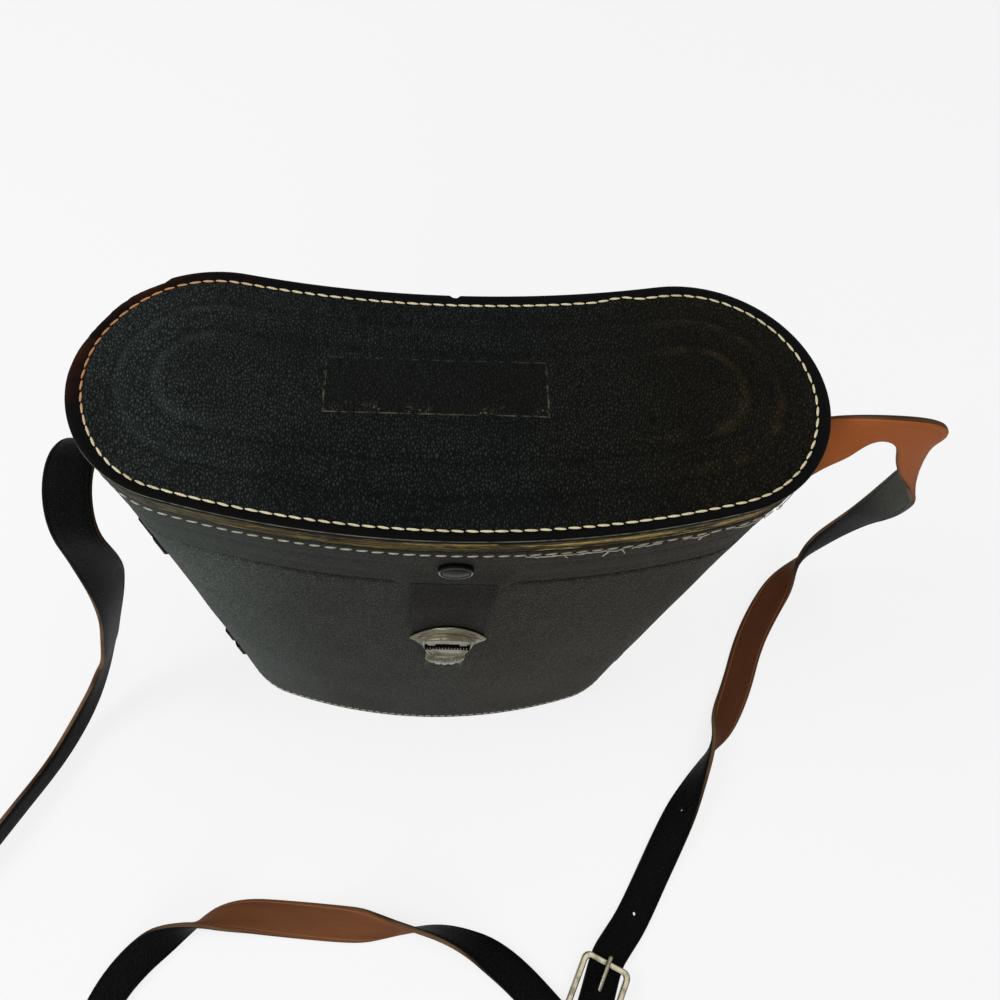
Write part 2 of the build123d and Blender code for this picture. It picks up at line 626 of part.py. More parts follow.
def section(at, along, look):
    """Cross-section of the strap at a point, square to its run."""
    return Plane(origin=at, x_dir=along.cross(look).normalized(), z_dir=along) * Rectangle(strap_width, strap_thick)


def stretches(at):
    """Stations along straight runs and tangent arcs, parted at the middle of each arc, and the arcs' radii."""
    runs = [b - a for a, b in zip(at, at[1:])]
    heads = [run.normalized() for run in runs]
    parts, radii = [[(at[0], heads[0])]], []

    def go_straight(end, along):
        begin = parts[-1][-1][0]
        count = ceil((end - begin).length / straight_step)
        parts[-1].extend((begin + (end - begin) * (k / count), along) for k in range(1, count))

    for into, out, before, after, corner in zip(heads, heads[1:], runs, runs[1:], at[1:]):
        turn = into.get_angle(out)
        cut = 0.45 * min(before.length, after.length)
        radii.append(cut / tan(radians(turn / 2)))
        bend = Axis((0, 0, 0), into.cross(out))
        enter = corner - into * cut
        centre = enter + squared(out, into) * radii[-1]
        go_straight(enter, into)
        half = ceil(turn / (2 * bend_step))
        for k in range(2 * half + 1):
            angle = turn * k / (2 * half)
            station = centre + (enter - centre).rotate(bend, angle), into.rotate(bend, angle)
            parts[-1].append(station)
            if k == half:
                parts.append([station])
    go_straight(at[-1], heads[-1])
    parts[-1].append((at[-1], heads[-1]))
    return parts, radii


def strap(route, name):
    """Flat strap along a route, its twist spread evenly from each corner to the next."""
    parts, radii = stretches([Vector(*row[:3]) for row in route])
    looks = [Vector(*row[3:]) for row in route]
    cuts = []
    for part, look_in, look_out in zip(parts, looks, looks[1:]):
        carried, gone = [squared(look_in, part[0][1])], [0.0]
        for (a, along), (b, onward) in zip(part, part[1:]):
            turn = along.get_angle(onward)
            carried.append(carried[-1].rotate(Axis((0, 0, 0), along.cross(onward)), turn)
                           if turn > 0.001 else carried[-1])
            gone.append(gone[-1] + (b - a).length)
        last, goal = part[-1][1], squared(look_out, part[-1][1])
        twist = degrees(atan2(carried[-1].cross(goal).dot(last), carried[-1].dot(goal)))
        turned = [(at, along, look.rotate(Axis((0, 0, 0), along), twist * done / gone[-1]))
                  for (at, along), look, done in zip(part, carried, gone)]
        cuts += turned[1 if cuts else 0:]
    skin = [section(*cuts[0]).face(), section(*cuts[-1]).face()]
    for one, two in zip(cuts, cuts[1:]):
        piece = loft([section(*one), section(*two)], ruled=True)
        skin += [face for face in piece.faces()
                 if min((face.center() - one[0]).length, (face.center() - two[0]).length) > 0.001]
    whole = Solid(Shell(skin))
    length = sum((b[0] - a[0]).length for a, b in zip(cuts, cuts[1:]))
    share = whole.volume / (length * strap_width * strap_thick)
    print(f"{name}: length {length:.0f}, volume share {share:.3f}, valid {whole.is_valid},",
          f"lowest {whole.bounding_box().min.Z:.2f}, radii", " ".join(f"{r:.0f}" for r in radii))
    return whole


strap_short = strap(short_route, "strap_short")
strap_long = strap(long_route, "strap_long")

# ---------------------------------------------------------------- buckle

heading = radians(buckle_heading)
frame_z = strap_lift + strap_thick / 2 + eye_gap + buckle_bar / 2
buckle_plane = Plane(origin=(buckle_at[0], buckle_at[1], 0), x_dir=(cos(heading), sin(heading), 0), z_dir=(0, 0, 1))
bar_r = buckle_bar / 2


def buckle_box(u0, u1, half, w0, w1):
    return buckle_plane * (Pos((u0 + u1) / 2, 0, (w0 + w1) / 2) * Box(u1 - u0, 2 * half, w1 - w0))


def across_bar(u, w, radius, width):
    """Round bar across the buckle."""
    return buckle_plane * (Pos(u, 0, w) * Rot(90, 0, 0) * Cylinder(radius, width))


mid_u = buckle_length / 2
ring = RectangleRounded(buckle_length + buckle_bar, buckle_width, 3.6)
ring -= RectangleRounded(buckle_length - buckle_bar, buckle_width - 2 * buckle_bar, 1.6)
ring = extrude(Pos(mid_u, 0, frame_z - bar_r) * ring, buckle_bar)
ring = fillet(ring.edges().filter_by(Plane.XY), 0.7)
buckle_frame = buckle_plane * ring
buckle_frame -= buckle_box(buckle_length - bar_r - 1, buckle_length + bar_r + 1, strap_width / 2 + 0.6,
                           frame_z - 4, frame_z + 4)
buckle_frame += across_bar(buckle_length, frame_z, bar_r, strap_width + 2)

outer_r = bar_r + eye_gap + strap_thick
inner_r = bar_r + eye_gap
fold = across_bar(buckle_length, frame_z, outer_r, strap_width) - across_bar(buckle_length, frame_z, inner_r, 30)
fold &= buckle_box(buckle_length - 6, buckle_length, 10, 0, 20)
low_leaf = buckle_box(buckle_length, eye_start, strap_width / 2, strap_lift - strap_thick / 2,
                      strap_lift + strap_thick / 2)
over, rest = frame_z + inner_r, strap_lift + strap_thick / 2 + 0.1
side_view = Plane(origin=buckle_plane.origin, x_dir=buckle_plane.x_dir, z_dir=-buckle_plane.y_dir)
upper_leaf = extrude(side_view * Polygon(
    (buckle_length, over), (buckle_length, over + strap_thick), (buckle_length + 2, over + strap_thick),
    (buckle_length + 10.5, rest + strap_thick), (eye_end, rest + strap_thick), (eye_end, rest),
    (buckle_length + 9.5, rest), (buckle_length + 1.2, over), align=None), strap_width / 2, both=True)
strap_eye = fold + low_leaf + upper_leaf
strap_eye -= buckle_box(buckle_length - 6, buckle_length + 4, prong_slot_width / 2, 0, 20)

prong_z0 = frame_z + bar_r + prong_radius + 0.03
prong_tip = (-prong_overhang, prong_z0 + 0.05)
prong_root = (buckle_length - 1.6, frame_z + 1.9)
buckle_prong = across_bar(buckle_length, frame_z, prong_eye, prong_eye_width)
start = buckle_plane.from_local_coords(Vector(prong_root[0], 0, prong_root[1]))
end = buckle_plane.from_local_coords(Vector(prong_tip[0], 0, prong_tip[1]))
shaft = Plane(origin=start, z_dir=(end - start).normalized())
buckle_prong += rod(shaft, prong_radius, 0, (end - start).length) + Pos(end) * Sphere(prong_radius)
buckle_prong -= across_bar(buckle_length, frame_z, bar_r + 0.06, 10)

strap_tip = strap(strap_tip_route + [(*buckle_plane.from_local_coords(
    Vector(tip_at, 0, rest + strap_thick + 0.15 + strap_thick / 2)), 0, 0, 1)], "strap_tip")
strap_tip -= buckle_box(*prong_swing_slot, prong_slot_width / 2, 0, 20)

keeper_low = strap_lift - strap_thick / 2 - 0.15
keeper_high = rest + 2 * strap_thick + 0.3
keeper_half = strap_width / 2 + 0.5
strap_keeper = buckle_box(keeper_at - keeper_wide / 2, keeper_at + keeper_wide / 2, keeper_half + keeper_leather,
                          keeper_low - keeper_leather, keeper_high + keeper_leather)
strap_keeper -= buckle_box(keeper_at - 9, keeper_at + 9, keeper_half, keeper_low, keeper_high)

# ---------------------------------------------------------------- write the pieces

nodes = {
    "body_shell": body_shell, "base_panel": base_panel, "bottom_pad": bottom_pad,
    "inner_liner": inner_liner, "body_lining": body_lining,
    "lid_skirt": lid_skirt, "lid_welt": lid_welt, "lid_top": lid_top, "lid_board": lid_board,
    "lid_lining": lid_lining, "hinge_leaf_case": hinge_leaf_case, "hinge_leaf_lid": hinge_leaf_lid,
    "hasp_tab_root": hasp_tab_root, "hasp_tab": hasp_tab, "hasp_plate": hasp_plate,
    "hasp_rivet": hasp_rivet, "hasp_rivet_cap": hasp_rivet_cap, "hasp_washer": hasp_washer,
    "lock_base": lock_base, "lock_rivets": Compound(children=lock_rivets),
    "catch_slider": catch_slider, "catch_spring": catch_spring,
    **loops, "loop_rivets": Compound(children=loop_rivets),
    "anchor_rivets": Compound(children=anchor_rivets),
    "strap_side_left": side_straps["left"], "strap_side_right": side_straps["right"],
    "strap_short": strap_short, "strap_long": strap_long, "strap_tip": strap_tip, "strap_eye": strap_eye,
    "strap_keeper": strap_keeper, "buckle_frame": buckle_frame, "buckle_prong": buckle_prong,
}
for name, shape in nodes.items():
    export_step(shape, f"parts/{name}.step")
    print(f"{name}: {len(shape.solids())} solids, {shape.volume:.0f} mm3")
print("hinge axis", round(axis_y, 2), parting_height, "hasp axis", round(hasp_axis_y, 2), hasp_axis_z,
      "prong axis", buckle_plane.from_local_coords(Vector(buckle_length, 0, frame_z)))
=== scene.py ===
"""Hard leather case for binoculars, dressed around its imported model.

Metres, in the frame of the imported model: +Z is up, +X is to the right and the front looks along -Y.
"""

import json
import logging
import math
import random
from dataclasses import dataclass, field
from enum import Enum
from typing import Any, Callable, Iterable, Sequence

import bmesh
import bpy
from mathutils import Matrix, Vector, noise

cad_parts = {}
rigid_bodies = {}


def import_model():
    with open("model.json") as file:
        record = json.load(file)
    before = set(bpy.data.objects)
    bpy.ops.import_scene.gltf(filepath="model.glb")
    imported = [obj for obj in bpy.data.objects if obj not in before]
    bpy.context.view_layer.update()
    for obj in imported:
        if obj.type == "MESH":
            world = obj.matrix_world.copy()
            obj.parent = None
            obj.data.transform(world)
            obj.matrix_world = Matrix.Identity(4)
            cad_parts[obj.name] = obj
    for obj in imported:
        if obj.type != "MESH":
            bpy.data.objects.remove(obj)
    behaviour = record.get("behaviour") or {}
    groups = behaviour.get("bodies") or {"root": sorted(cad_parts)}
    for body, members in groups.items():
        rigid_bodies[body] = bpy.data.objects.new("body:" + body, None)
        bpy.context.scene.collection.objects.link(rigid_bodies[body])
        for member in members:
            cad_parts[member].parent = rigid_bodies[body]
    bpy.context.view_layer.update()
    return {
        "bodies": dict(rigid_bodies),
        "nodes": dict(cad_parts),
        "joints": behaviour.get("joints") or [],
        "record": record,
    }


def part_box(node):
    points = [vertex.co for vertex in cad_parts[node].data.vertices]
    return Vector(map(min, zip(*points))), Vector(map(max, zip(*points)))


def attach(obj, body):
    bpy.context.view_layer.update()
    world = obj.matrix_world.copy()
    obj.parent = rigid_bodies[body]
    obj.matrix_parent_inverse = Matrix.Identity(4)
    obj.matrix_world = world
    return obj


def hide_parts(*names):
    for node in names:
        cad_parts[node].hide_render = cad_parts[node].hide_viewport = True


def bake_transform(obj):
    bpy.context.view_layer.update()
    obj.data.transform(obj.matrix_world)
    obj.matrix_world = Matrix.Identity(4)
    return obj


log = logging.getLogger("case")
MM = 0.001

Point = tuple[float, float, float]
Pair = tuple[float, float]
Display = tuple[int, int, int]
Station = tuple[Vector, Vector]
Given = dict[Any, Any] | None
Piece = bpy.types.Object
Material = bpy.types.Material


# ------------------------------------------------------------------ nodes and objects

def add_node(tree: Any, kind: str, settings: Given = None, sockets: Given = None) -> Any:
    """Adds a node to a tree.

    Args:
        tree: The node tree.
        kind: The node's type.
        settings: Properties of the node, set before its sockets.
        sockets: Numbers, colours, sockets or values, by the input's name or place.

    Returns:
        The node.
    """
    made = tree.nodes.new(kind)
    for key, wanted in (settings or {}).items():
        setattr(made, key, wanted)
    for key, wanted in (sockets or {}).items():
        given = wanted.socket if isinstance(wanted, Value) else wanted
        if isinstance(given, bpy.types.NodeSocket):
            tree.links.new(given, made.inputs[key])
        else:
            made.inputs[key].default_value = given
    return made


def linked(name: str, data: Any) -> Piece:
    """New object with this data, in the scene."""
    made = bpy.data.objects.new(name, data)
    bpy.context.scene.collection.objects.link(made)
    return made


class Value:
    """A number in a shader tree, which takes part in sums as a plain number does."""

    def __init__(self, tree: "Finishing", socket: Any) -> None:
        """Wraps an output socket.

        Args:
            tree: The material being made.
            socket: The socket that gives the number.
        """
        self.tree = tree
        self.socket = socket

    def _sum(self, operation: str, *terms: Any) -> "Value":
        """Adds a Math node.

        Args:
            operation: The node's operation.
            terms: Numbers or values, in the node's order.

        Returns:
            The node's result.
        """
        made = self.tree.add("ShaderNodeMath", {"operation": operation}, dict(enumerate(terms)))
        return Value(self.tree, made.outputs[0])

    def __add__(self, other: Any) -> "Value":
        """Sum."""
        return self._sum("ADD", self, other)

    def __radd__(self, other: Any) -> "Value":
        """Sum, from the right."""
        return self._sum("ADD", other, self)

    def __sub__(self, other: Any) -> "Value":
        """Difference."""
        return self._sum("SUBTRACT", self, other)

    def __rsub__(self, other: Any) -> "Value":
        """Difference, from the right."""
        return self._sum("SUBTRACT", other, self)

    def __mul__(self, other: Any) -> "Value":
        """Product."""
        return self._sum("MULTIPLY", self, other)

    def size(self) -> "Value":
        """Absolute value."""
        return self._sum("ABSOLUTE", self)

    def most(self, other: Any) -> "Value":
        """The larger of two."""
        return self._sum("MAXIMUM", self, other)

    def least(self, other: Any) -> "Value":
        """The smaller of two."""
        return self._sum("MINIMUM", self, other)

    def ramp(self, low: float, high: float, start: float = 0.0, end: float = 1.0) -> "Value":
        """Smooth step from start to end as the number goes from low to high.

        Args:
            low: Where the step begins.
            high: Where it ends.
            start: Result at low and below.
            end: Result at high and above.

        Returns:
            The stepped number.
        """
        made = self.tree.add("ShaderNodeMapRange", {"interpolation_type": "SMOOTHSTEP"},
                             {0: self, 1: low, 2: high, 3: start, 4: end})
        return Value(self.tree, made.outputs[0])

    def near(self, middle: float, reach: float) -> "Value":
        """One at middle, falling smoothly to nothing at reach on either side."""
        return 1.0 - (self - middle).size().ramp(0.0, reach)


class Finishing:
    """One material as it is being made: its tree, and the few ways in which nodes are added."""

    def __init__(self, name: str) -> None:
        """Starts a material.

        Args:
            name: The material's name.
        """
        self.material = bpy.data.materials.new(name)
        self.material.use_nodes = True
        self.material.node_tree.nodes.clear()
        self.place = self.add("ShaderNodeTexCoord").outputs["Object"]
        self._parts: list[Value] = []

    def add(self, kind: str, settings: Given = None, sockets: Given = None) -> Any:
        """Adds a node to the material, as add_node does."""
        return add_node(self.material.node_tree, kind, settings, sockets)

    def xyz(self) -> list[Value]:
        """The three coordinates of the place on the object."""
        if not self._parts:
            parted = self.add("ShaderNodeSeparateXYZ", None, {0: self.place})
            self._parts = [Value(self, out) for out in parted.outputs]
        return self._parts

    def attribute(self, name: str) -> Value:
        """A number stored at the mesh's points."""
        made = self.add("ShaderNodeAttribute", {"attribute_name": name})
        return Value(self, made.outputs["Fac"])

    def stretched(self, scale: Sequence[float]) -> Any:
        """Place on the object with each axis scaled, as a vector socket."""
        return self.add("ShaderNodeMapping", None, {"Vector": self.place, "Scale": tuple(scale)}).outputs[0]

    def joined(self, *parts: Any) -> Any:
        """Vector socket from three numbers or values."""
        return self.add("ShaderNodeCombineXYZ", None, dict(enumerate(parts))).outputs[0]

    def cloud(self, pitch: float, detail: float = 2.0, rough: float = 0.5, place: Any = None) -> Value:
        """Soft noise.

        Args:
            pitch: Rough size of its patches, in metres, or in units of the place given.
            detail: Octaves.
            rough: How strong the finer octaves are.
            place: Vector socket, if not the place on the object.

        Returns:
            A number from about 0.25 to 0.75.
        """
        made = self.add("ShaderNodeTexNoise", None, {"Vector": place or self.place, "Scale": 1.0 / pitch,
                                                     "Detail": detail, "Roughness": rough})
        return Value(self, made.outputs[0])

    def wandering(self, amount: float, pitch: float, place: Any) -> Any:
        """Place pushed about by noise, so that a pattern on it is less even.

        Args:
            amount: How far the place moves.
            pitch: Size of the noise's patches.
            place: Vector socket to start from.

        Returns:
            A vector socket.
        """
        made = self.add("ShaderNodeTexNoise", None, {"Vector": place, "Scale": 1.0 / pitch, "Detail": 1.0})
        centred = self.add("ShaderNodeVectorMath", {"operation": "SUBTRACT"},
                           {0: made.outputs[1], 1: (0.5,) * 3})
        scaled = self.add("ShaderNodeVectorMath", {"operation": "SCALE"},
                          {0: centred.outputs[0], 3: 2 * amount})
        return self.add("ShaderNodeVectorMath", {"operation": "ADD"},
                        {0: place, 1: scaled.outputs[0]}).outputs[0]

    def pebbles(self, cell: float, stretch: Sequence[float] = (1.0, 1.0, 1.0), soft: float = 0.3) -> Value:
        """Leather grain: rounded pebbles with narrow valleys between them.

        Args:
            cell: Size of a pebble, in metres.
            stretch: Scale of each axis.
            soft: How wide the valleys' slopes are.

        Returns:
            Height, from 0 in a valley to 1 on a pebble.
        """
        place = self.wandering(0.45 * cell, 2.6 * cell, self.stretched(stretch))
        made = self.add("ShaderNodeTexVoronoi", {"feature": "DISTANCE_TO_EDGE"},
                        {"Vector": place, "Scale": 1.0 / cell, "Randomness": 1.0})
        return Value(self, made.outputs[0]).ramp(0.0, soft)

    def blended(self, share: Any, first: Any, second: Any) -> Any:
        """Colour between two others.

        Args:
            share: 0 for the first colour, 1 for the second.
            first: Colour or colour socket.
            second: Colour or colour socket.

        Returns:
            A colour socket.
        """
        made = self.add("ShaderNodeMix", {"data_type": "RGBA"}, {0: share, 6: first, 7: second})
        return made.outputs[2]

    def relief(self, height: Value, depth: float, under: Any = None) -> Any:
        """Normal of a surface with this relief.

        Args:
            height: Height from 0 to 1.
            depth: What a height of 1 stands for, in metres.
            under: Normal socket of a coarser relief under this one.

        Returns:
            A normal socket.
        """
        sockets: dict[Any, Any] = {"Height": height, "Distance": depth, "Strength": 1.0}
        if under is not None:
            sockets["Normal"] = under
        return self.add("ShaderNodeBump", None, sockets).outputs[0]

    def shade(self, colour: Any, rough: Any, normal: Any = None, metal: Any = 0.0,
              **steady: Any) -> Material:
        """Ends the material with its surface.

        Args:
            colour: Base colour.
            rough: Roughness.
            normal: Normal socket.
            metal: Metallic share.
            steady: Other inputs of the surface that are the same all over it.

        Returns:
            The finished material.
        """
        sockets: dict[Any, Any] = {"Base Color": colour, "Roughness": rough, "Metallic": metal}
        if normal is not None:
            sockets["Normal"] = normal
        sockets.update({key.replace("_", " ").title().replace("Ior", "IOR"): v for key, v in steady.items()})
        surface = self.add("ShaderNodeBsdfPrincipled", None, sockets)
        self.add("ShaderNodeOutputMaterial", None, {"Surface": surface.outputs[0]})
        return self.material


def tone(red: int, green: int, blue: int) -> tuple[float, float, float, float]:
    """Linear colour from display values of 0 to 255."""
    def straight(level: int) -> float:
        """Linear share of one channel."""
        share = level / 255
        return share / 12.92 if share <= 0.04045 else ((share + 0.055) / 1.055) ** 2.4
    return (straight(red), straight(green), straight(blue), 1.0)


# ------------------------------------------------------------------ finishes

class Slot(Enum):
    """Material slots that are passed along with the new pieces."""
    TOP = "black_leather"
    BODY = "body_leather"
    TAN = "tan_leather"
    NICKEL = "nickel"
    ENAMEL = "black_enamel"


@dataclass(frozen=True)
class TopLeather:
    """Coarsely pebbled black leather of the lid's top, with a smooth, pressed border and a bare patch;
    painted sheen lightens it towards the left end, and its steps take painted highlights and painted shade.
    """
    cell: float = 1.0 * MM
    depth: float = 0.3 * MM
    border: float = 2.6 * MM
    patch: tuple[float, float, float, float] = (-36.0 * MM, 26.5 * MM, -3.8 * MM, 14.4 * MM)
    steps: tuple[float, float] = (14.4 * MM, 24.8 * MM)

    def make(self) -> Material:
        """Builds the material."""
        f = Finishing("top_leather")
        x, y, _ = f.xyz()
        inset, deep, layer = f.attribute("inset"), f.attribute("deep"), f.attribute("layer")
        grain = f.pebbles(self.cell, (1.3, 0.74, 1.0), 0.3)
        fine = f.cloud(0.35 * MM, 3.0, 0.6)
        big = f.cloud(26 * MM, 2.0)
        field_ = inset.ramp(self.border, self.border + 1.0 * MM)
        across = (x - (self.patch[0] + self.patch[1]) / 2).size() - (self.patch[1] - self.patch[0]) / 2
        along = (y - (self.patch[2] + self.patch[3]) / 2).size() - (self.patch[3] - self.patch[2]) / 2
        outside = across.most(along)
        wobble = (f.cloud(5 * MM, 2.0) - 0.5) * (0.5 * MM)
        line = (outside + wobble).size().ramp(0.1 * MM, 0.36 * MM, 1.0, 0.0)
        low_side = (y - self.patch[2]).near(0.6 * MM, 3.6 * MM) * outside.ramp(-0.4 * MM, 0.2 * MM, 1.0, 0.0)
        worn_line = line * f.cloud(3.0 * MM, 3.0).ramp(0.4, 0.64) * y.ramp(8 * MM, 14 * MM, 1.0, 0.35)
        crumbs = low_side * f.cloud(0.7 * MM, 3.0, 0.75).ramp(0.54, 0.64)
        crumbs = crumbs * f.cloud(9 * MM, 1.0).ramp(0.44, 0.58)
        inside = outside.ramp(-0.3 * MM, 0.1 * MM, 1.0, 0.0)
        # left: painted sheen, as of light from the left, that lightens the crests and valleys towards the
        # left end; right: browner tone towards the right end.
        left, right = x.ramp(-20 * MM, -96 * MM), x.ramp(-10 * MM, 90 * MM)
        ends = x.size().ramp(48 * MM, 78 * MM)
        # Painted highlight on the crests of the steps near the ends, partly also rubbed wear: paler there.
        step_highlight_and_wear = (deep.near(self.steps[0], 2.6 * MM) * 0.7 + deep.near(self.steps[1], 2.8 * MM)).least(1.0)
        step_highlight_and_wear = step_highlight_and_wear * ends * f.cloud(8 * MM, 2.0).ramp(0.32, 0.62) * grain.ramp(0.0, 1.0, 0.4, 1.0)
        # Painted shade: darker bands at the foot of each step.
        step_shade = deep.near(self.steps[0] - 2.2 * MM, 1.6 * MM) + deep.near(self.steps[1] - 2.4 * MM, 1.6 * MM)
        left_red = x.ramp(-52 * MM, -88 * MM) * inset.ramp(0.7 * MM, self.border + 1.0 * MM, 1.0, 0.0)
        left_red = left_red * y.ramp(-10 * MM, 14 * MM)
        # The lighter colours to the far left are painted sheen.
        valley = f.blended(left, f.blended(right, tone(3, 4, 4), tone(3, 2, 1)), tone(7, 9, 8))
        crest = f.blended(left, f.blended(right, tone(40, 45, 43), tone(38, 35, 26)), tone(59, 66, 63))
        colour = f.blended((grain * 0.85 + fine * 0.3 - 0.08).least(1.0), valley, crest)
        colour = f.blended(big.ramp(0.42, 0.66) * 0.3, colour, valley)
        # Paler step crests: painted highlight and wear.
        colour = f.blended(step_highlight_and_wear * 0.34, colour, f.blended(right, tone(74, 82, 78), tone(86, 72, 44)))
        # Painted shade at the foot of the steps.
        colour = f.blended(step_shade.least(1.0) * 0.3, colour, valley)
        colour = f.blended(inside * 0.45, colour, tone(13, 12, 9))
        colour = f.blended(field_, tone(7, 6, 6), colour)
        colour = f.blended(left_red * f.cloud(8 * MM, 2.0).ramp(0.3, 0.62) * 0.8, colour, tone(52, 25, 13))
        colour = f.blended(worn_line * 0.8, colour, tone(96, 96, 80))
        colour = f.blended(crumbs * 0.85, colour, tone(126, 120, 92))
        rim = inset.ramp(0.02 * MM, 0.14 * MM + y.ramp(-5 * MM, 25 * MM) * (0.3 * MM), 1.0, 0.0)
        rim = rim * layer.ramp(9.46 * MM, 9.56 * MM) * f.cloud(3 * MM, 3.0).ramp(0.3, 0.6, 0.25, 1.0)
        colour = f.blended(rim * 0.85, colour, tone(142, 142, 126))
        height = grain * (field_ * 0.85 + 0.08) * (1.0 - inside * 0.35) + fine * 0.12
        height = height - line * 0.4 + crumbs * 0.5
        rough = 0.4 + (1.0 - grain) * 0.2 + fine * 0.12 + rim * 0.2
        return f.shade(colour, rough, f.relief(height, self.depth), specular_ior_level=0.035)


@dataclass(frozen=True)
class BodyLeather:
    """Finer grained leather of the walls: greenish grey, with painted sheen that makes it lighter to the
    left, and browner to the right.
    """
    name: str = "body_leather"
    cell: float = 1.0 * MM
    depth: float = 0.2 * MM
    # Painted sheen: the lit colour of the far left end.
    far: Display = (104, 113, 107)
    cool: Display = (65, 67, 60)
    warm: Display = (67, 61, 50)
    contrast: float = 0.75
    worn_below: float = 0.0

    def make(self) -> Material:
        """Builds the material."""
        f = Finishing(self.name)
        x, y, z = f.xyz()
        grain = f.pebbles(self.cell, (1.0, 1.0, 0.62), 0.42)
        fine = f.cloud(0.3 * MM, 3.0, 0.6)
        hairs = f.cloud(1.0, 3.0, 0.6, f.stretched((900, 900, 60)))
        big = f.cloud(38 * MM, 3.0, 0.55)
        # left: painted sheen that lightens both grain colours towards the left end.
        side, left = x.ramp(-50 * MM, 70 * MM), x.ramp(-38 * MM, -92 * MM)
        light = f.blended(left, f.blended(side, tone(*self.cool), tone(*self.warm)), tone(*self.far))
        dark = f.blended(left, f.blended(side, tone(29, 31, 28), tone(26, 22, 17)), tone(52, 58, 54))
        share = (grain - 0.5) * self.contrast + (fine - 0.5) * 0.5 + (hairs - 0.5) * 0.4 + 0.45
        colour = f.blended(share.most(0.0).least(1.0), dark, light)
        colour = f.blended(big.ramp(0.42, 0.7) * 0.25, colour, dark)
        scuffs = f.cloud(1.0, 4.0, 0.7, f.stretched((260, 260, 1500))).ramp(0.66, 0.74)
        colour = f.blended(scuffs * 0.2, colour, tone(96, 92, 78))
        if self.worn_below:
            worn = z.ramp(self.worn_below * 0.35, self.worn_below, 1.0, 0.0)
            worn = worn * f.cloud(5 * MM, 3.0, 0.6).ramp(0.42, 0.6)
            colour = f.blended(worn * 0.6, colour, tone(88, 76, 56))
        height = grain * 0.8 + hairs * 0.3 + fine * 0.2
        rough = 0.5 + (1.0 - grain) * 0.14 + big * 0.1
        return f.shade(colour, rough, f.relief(height, self.depth), specular_ior_level=0.06)


@dataclass(frozen=True)
class LayeredEdge:
    """Cut edges of the layers round the lid: gilt tan, greyer to the left, with a pale line on top."""

    def make(self) -> Material:
        """Builds the material."""
        f = Finishing("layered_edge")
        x, y, _ = f.xyz()
        run, layer = f.attribute("run"), f.attribute("layer")
        drawn = f.joined(run * 60.0, layer * 3200.0, 0.0)
        streak = f.cloud(1.0, 5.0, 0.7, drawn)
        patch = f.cloud(1.0, 4.0, 0.65, f.joined(run * 80.0, layer * 420.0, 0.3))
        long_ = f.cloud(1.0, 2.0, 0.5, f.joined(run * 22.0, layer * 700.0, 2.3))
        colour = f.blended(streak.ramp(0.42, 0.62), tone(12, 9, 4), tone(124, 106, 46))
        colour = f.blended(long_.ramp(0.48, 0.58) * 0.85, colour, tone(12, 10, 5))
        bright = patch.ramp(0.5, 0.62) * streak.ramp(0.42, 0.56) * x.ramp(-60 * MM, 20 * MM, 0.35, 1.0)
        colour = f.blended(bright * 0.9, colour, tone(208, 178, 98))
        left = x.ramp(-38 * MM, -90 * MM)
        grey = f.blended(streak.ramp(0.38, 0.6), tone(24, 23, 18), tone(96, 94, 80))
        colour = f.blended(left * 0.75, colour, grey)
        far = x.ramp(66 * MM, 100 * MM)
        reddish = f.blended(streak.ramp(0.38, 0.6), tone(30, 18, 10), tone(128, 92, 62))
        colour = f.blended(far * 0.7, colour, reddish)
        seams = layer.near(1.9 * MM, 0.35 * MM) + layer.near(4.6 * MM, 0.3 * MM)
        seams = seams + layer.near(7.0 * MM, 0.5 * MM)
        colour = f.blended(seams.least(1.0) * 0.85, colour, tone(13, 10, 6))
        over = layer.ramp(8.5 * MM, 9.0 * MM)
        colour = f.blended(over * 0.6, colour, tone(14, 12, 9))
        lip_wear = f.cloud(1.0, 4.0, 0.7, f.joined(run * 260.0, layer * 500.0, 4.0))
        lip = layer.ramp(9.22 * MM, 9.36 * MM) * lip_wear.ramp(0.36, 0.56, 0.25, 1.0)
        colour = f.blended(lip * 0.8, colour, f.blended(left, tone(146, 142, 122), tone(126, 128, 118)))
        behind = y.ramp(20 * MM, 34 * MM)
        colour = f.blended(behind * 0.6, colour, tone(42, 36, 24))
        return f.shade(colour, 0.58 - bright * 0.16, f.relief(streak * 0.7 + patch * 0.5, 0.3 * MM),
                       specular_ior_level=0.1)


@dataclass(frozen=True)
class Thread:
    """Waxed cream thread, tinted orange on the left of the top seam."""
    name: str
    clean: Display
    tinted: Display

    def make(self) -> Material:
        """Builds the material."""
        f = Finishing(self.name)
        x, y, _ = f.xyz()
        strand = f.cloud(0.25 * MM, 2.0)
        patch = f.cloud(9 * MM, 2.0)
        stain = x.ramp(-40 * MM, -92 * MM) * y.ramp(-20 * MM, 8 * MM)
        colour = f.blended(stain, tone(*self.clean), tone(*self.tinted))
        colour = f.blended(patch.ramp(0.45, 0.7) * 0.35, colour, tone(168, 150, 112))
        colour = f.blended(strand.ramp(0.55, 0.35) * 0.4, colour, tone(120, 104, 74))
        return f.shade(colour, 0.72, f.relief(strand, 0.12 * MM), specular_ior_level=0.3)


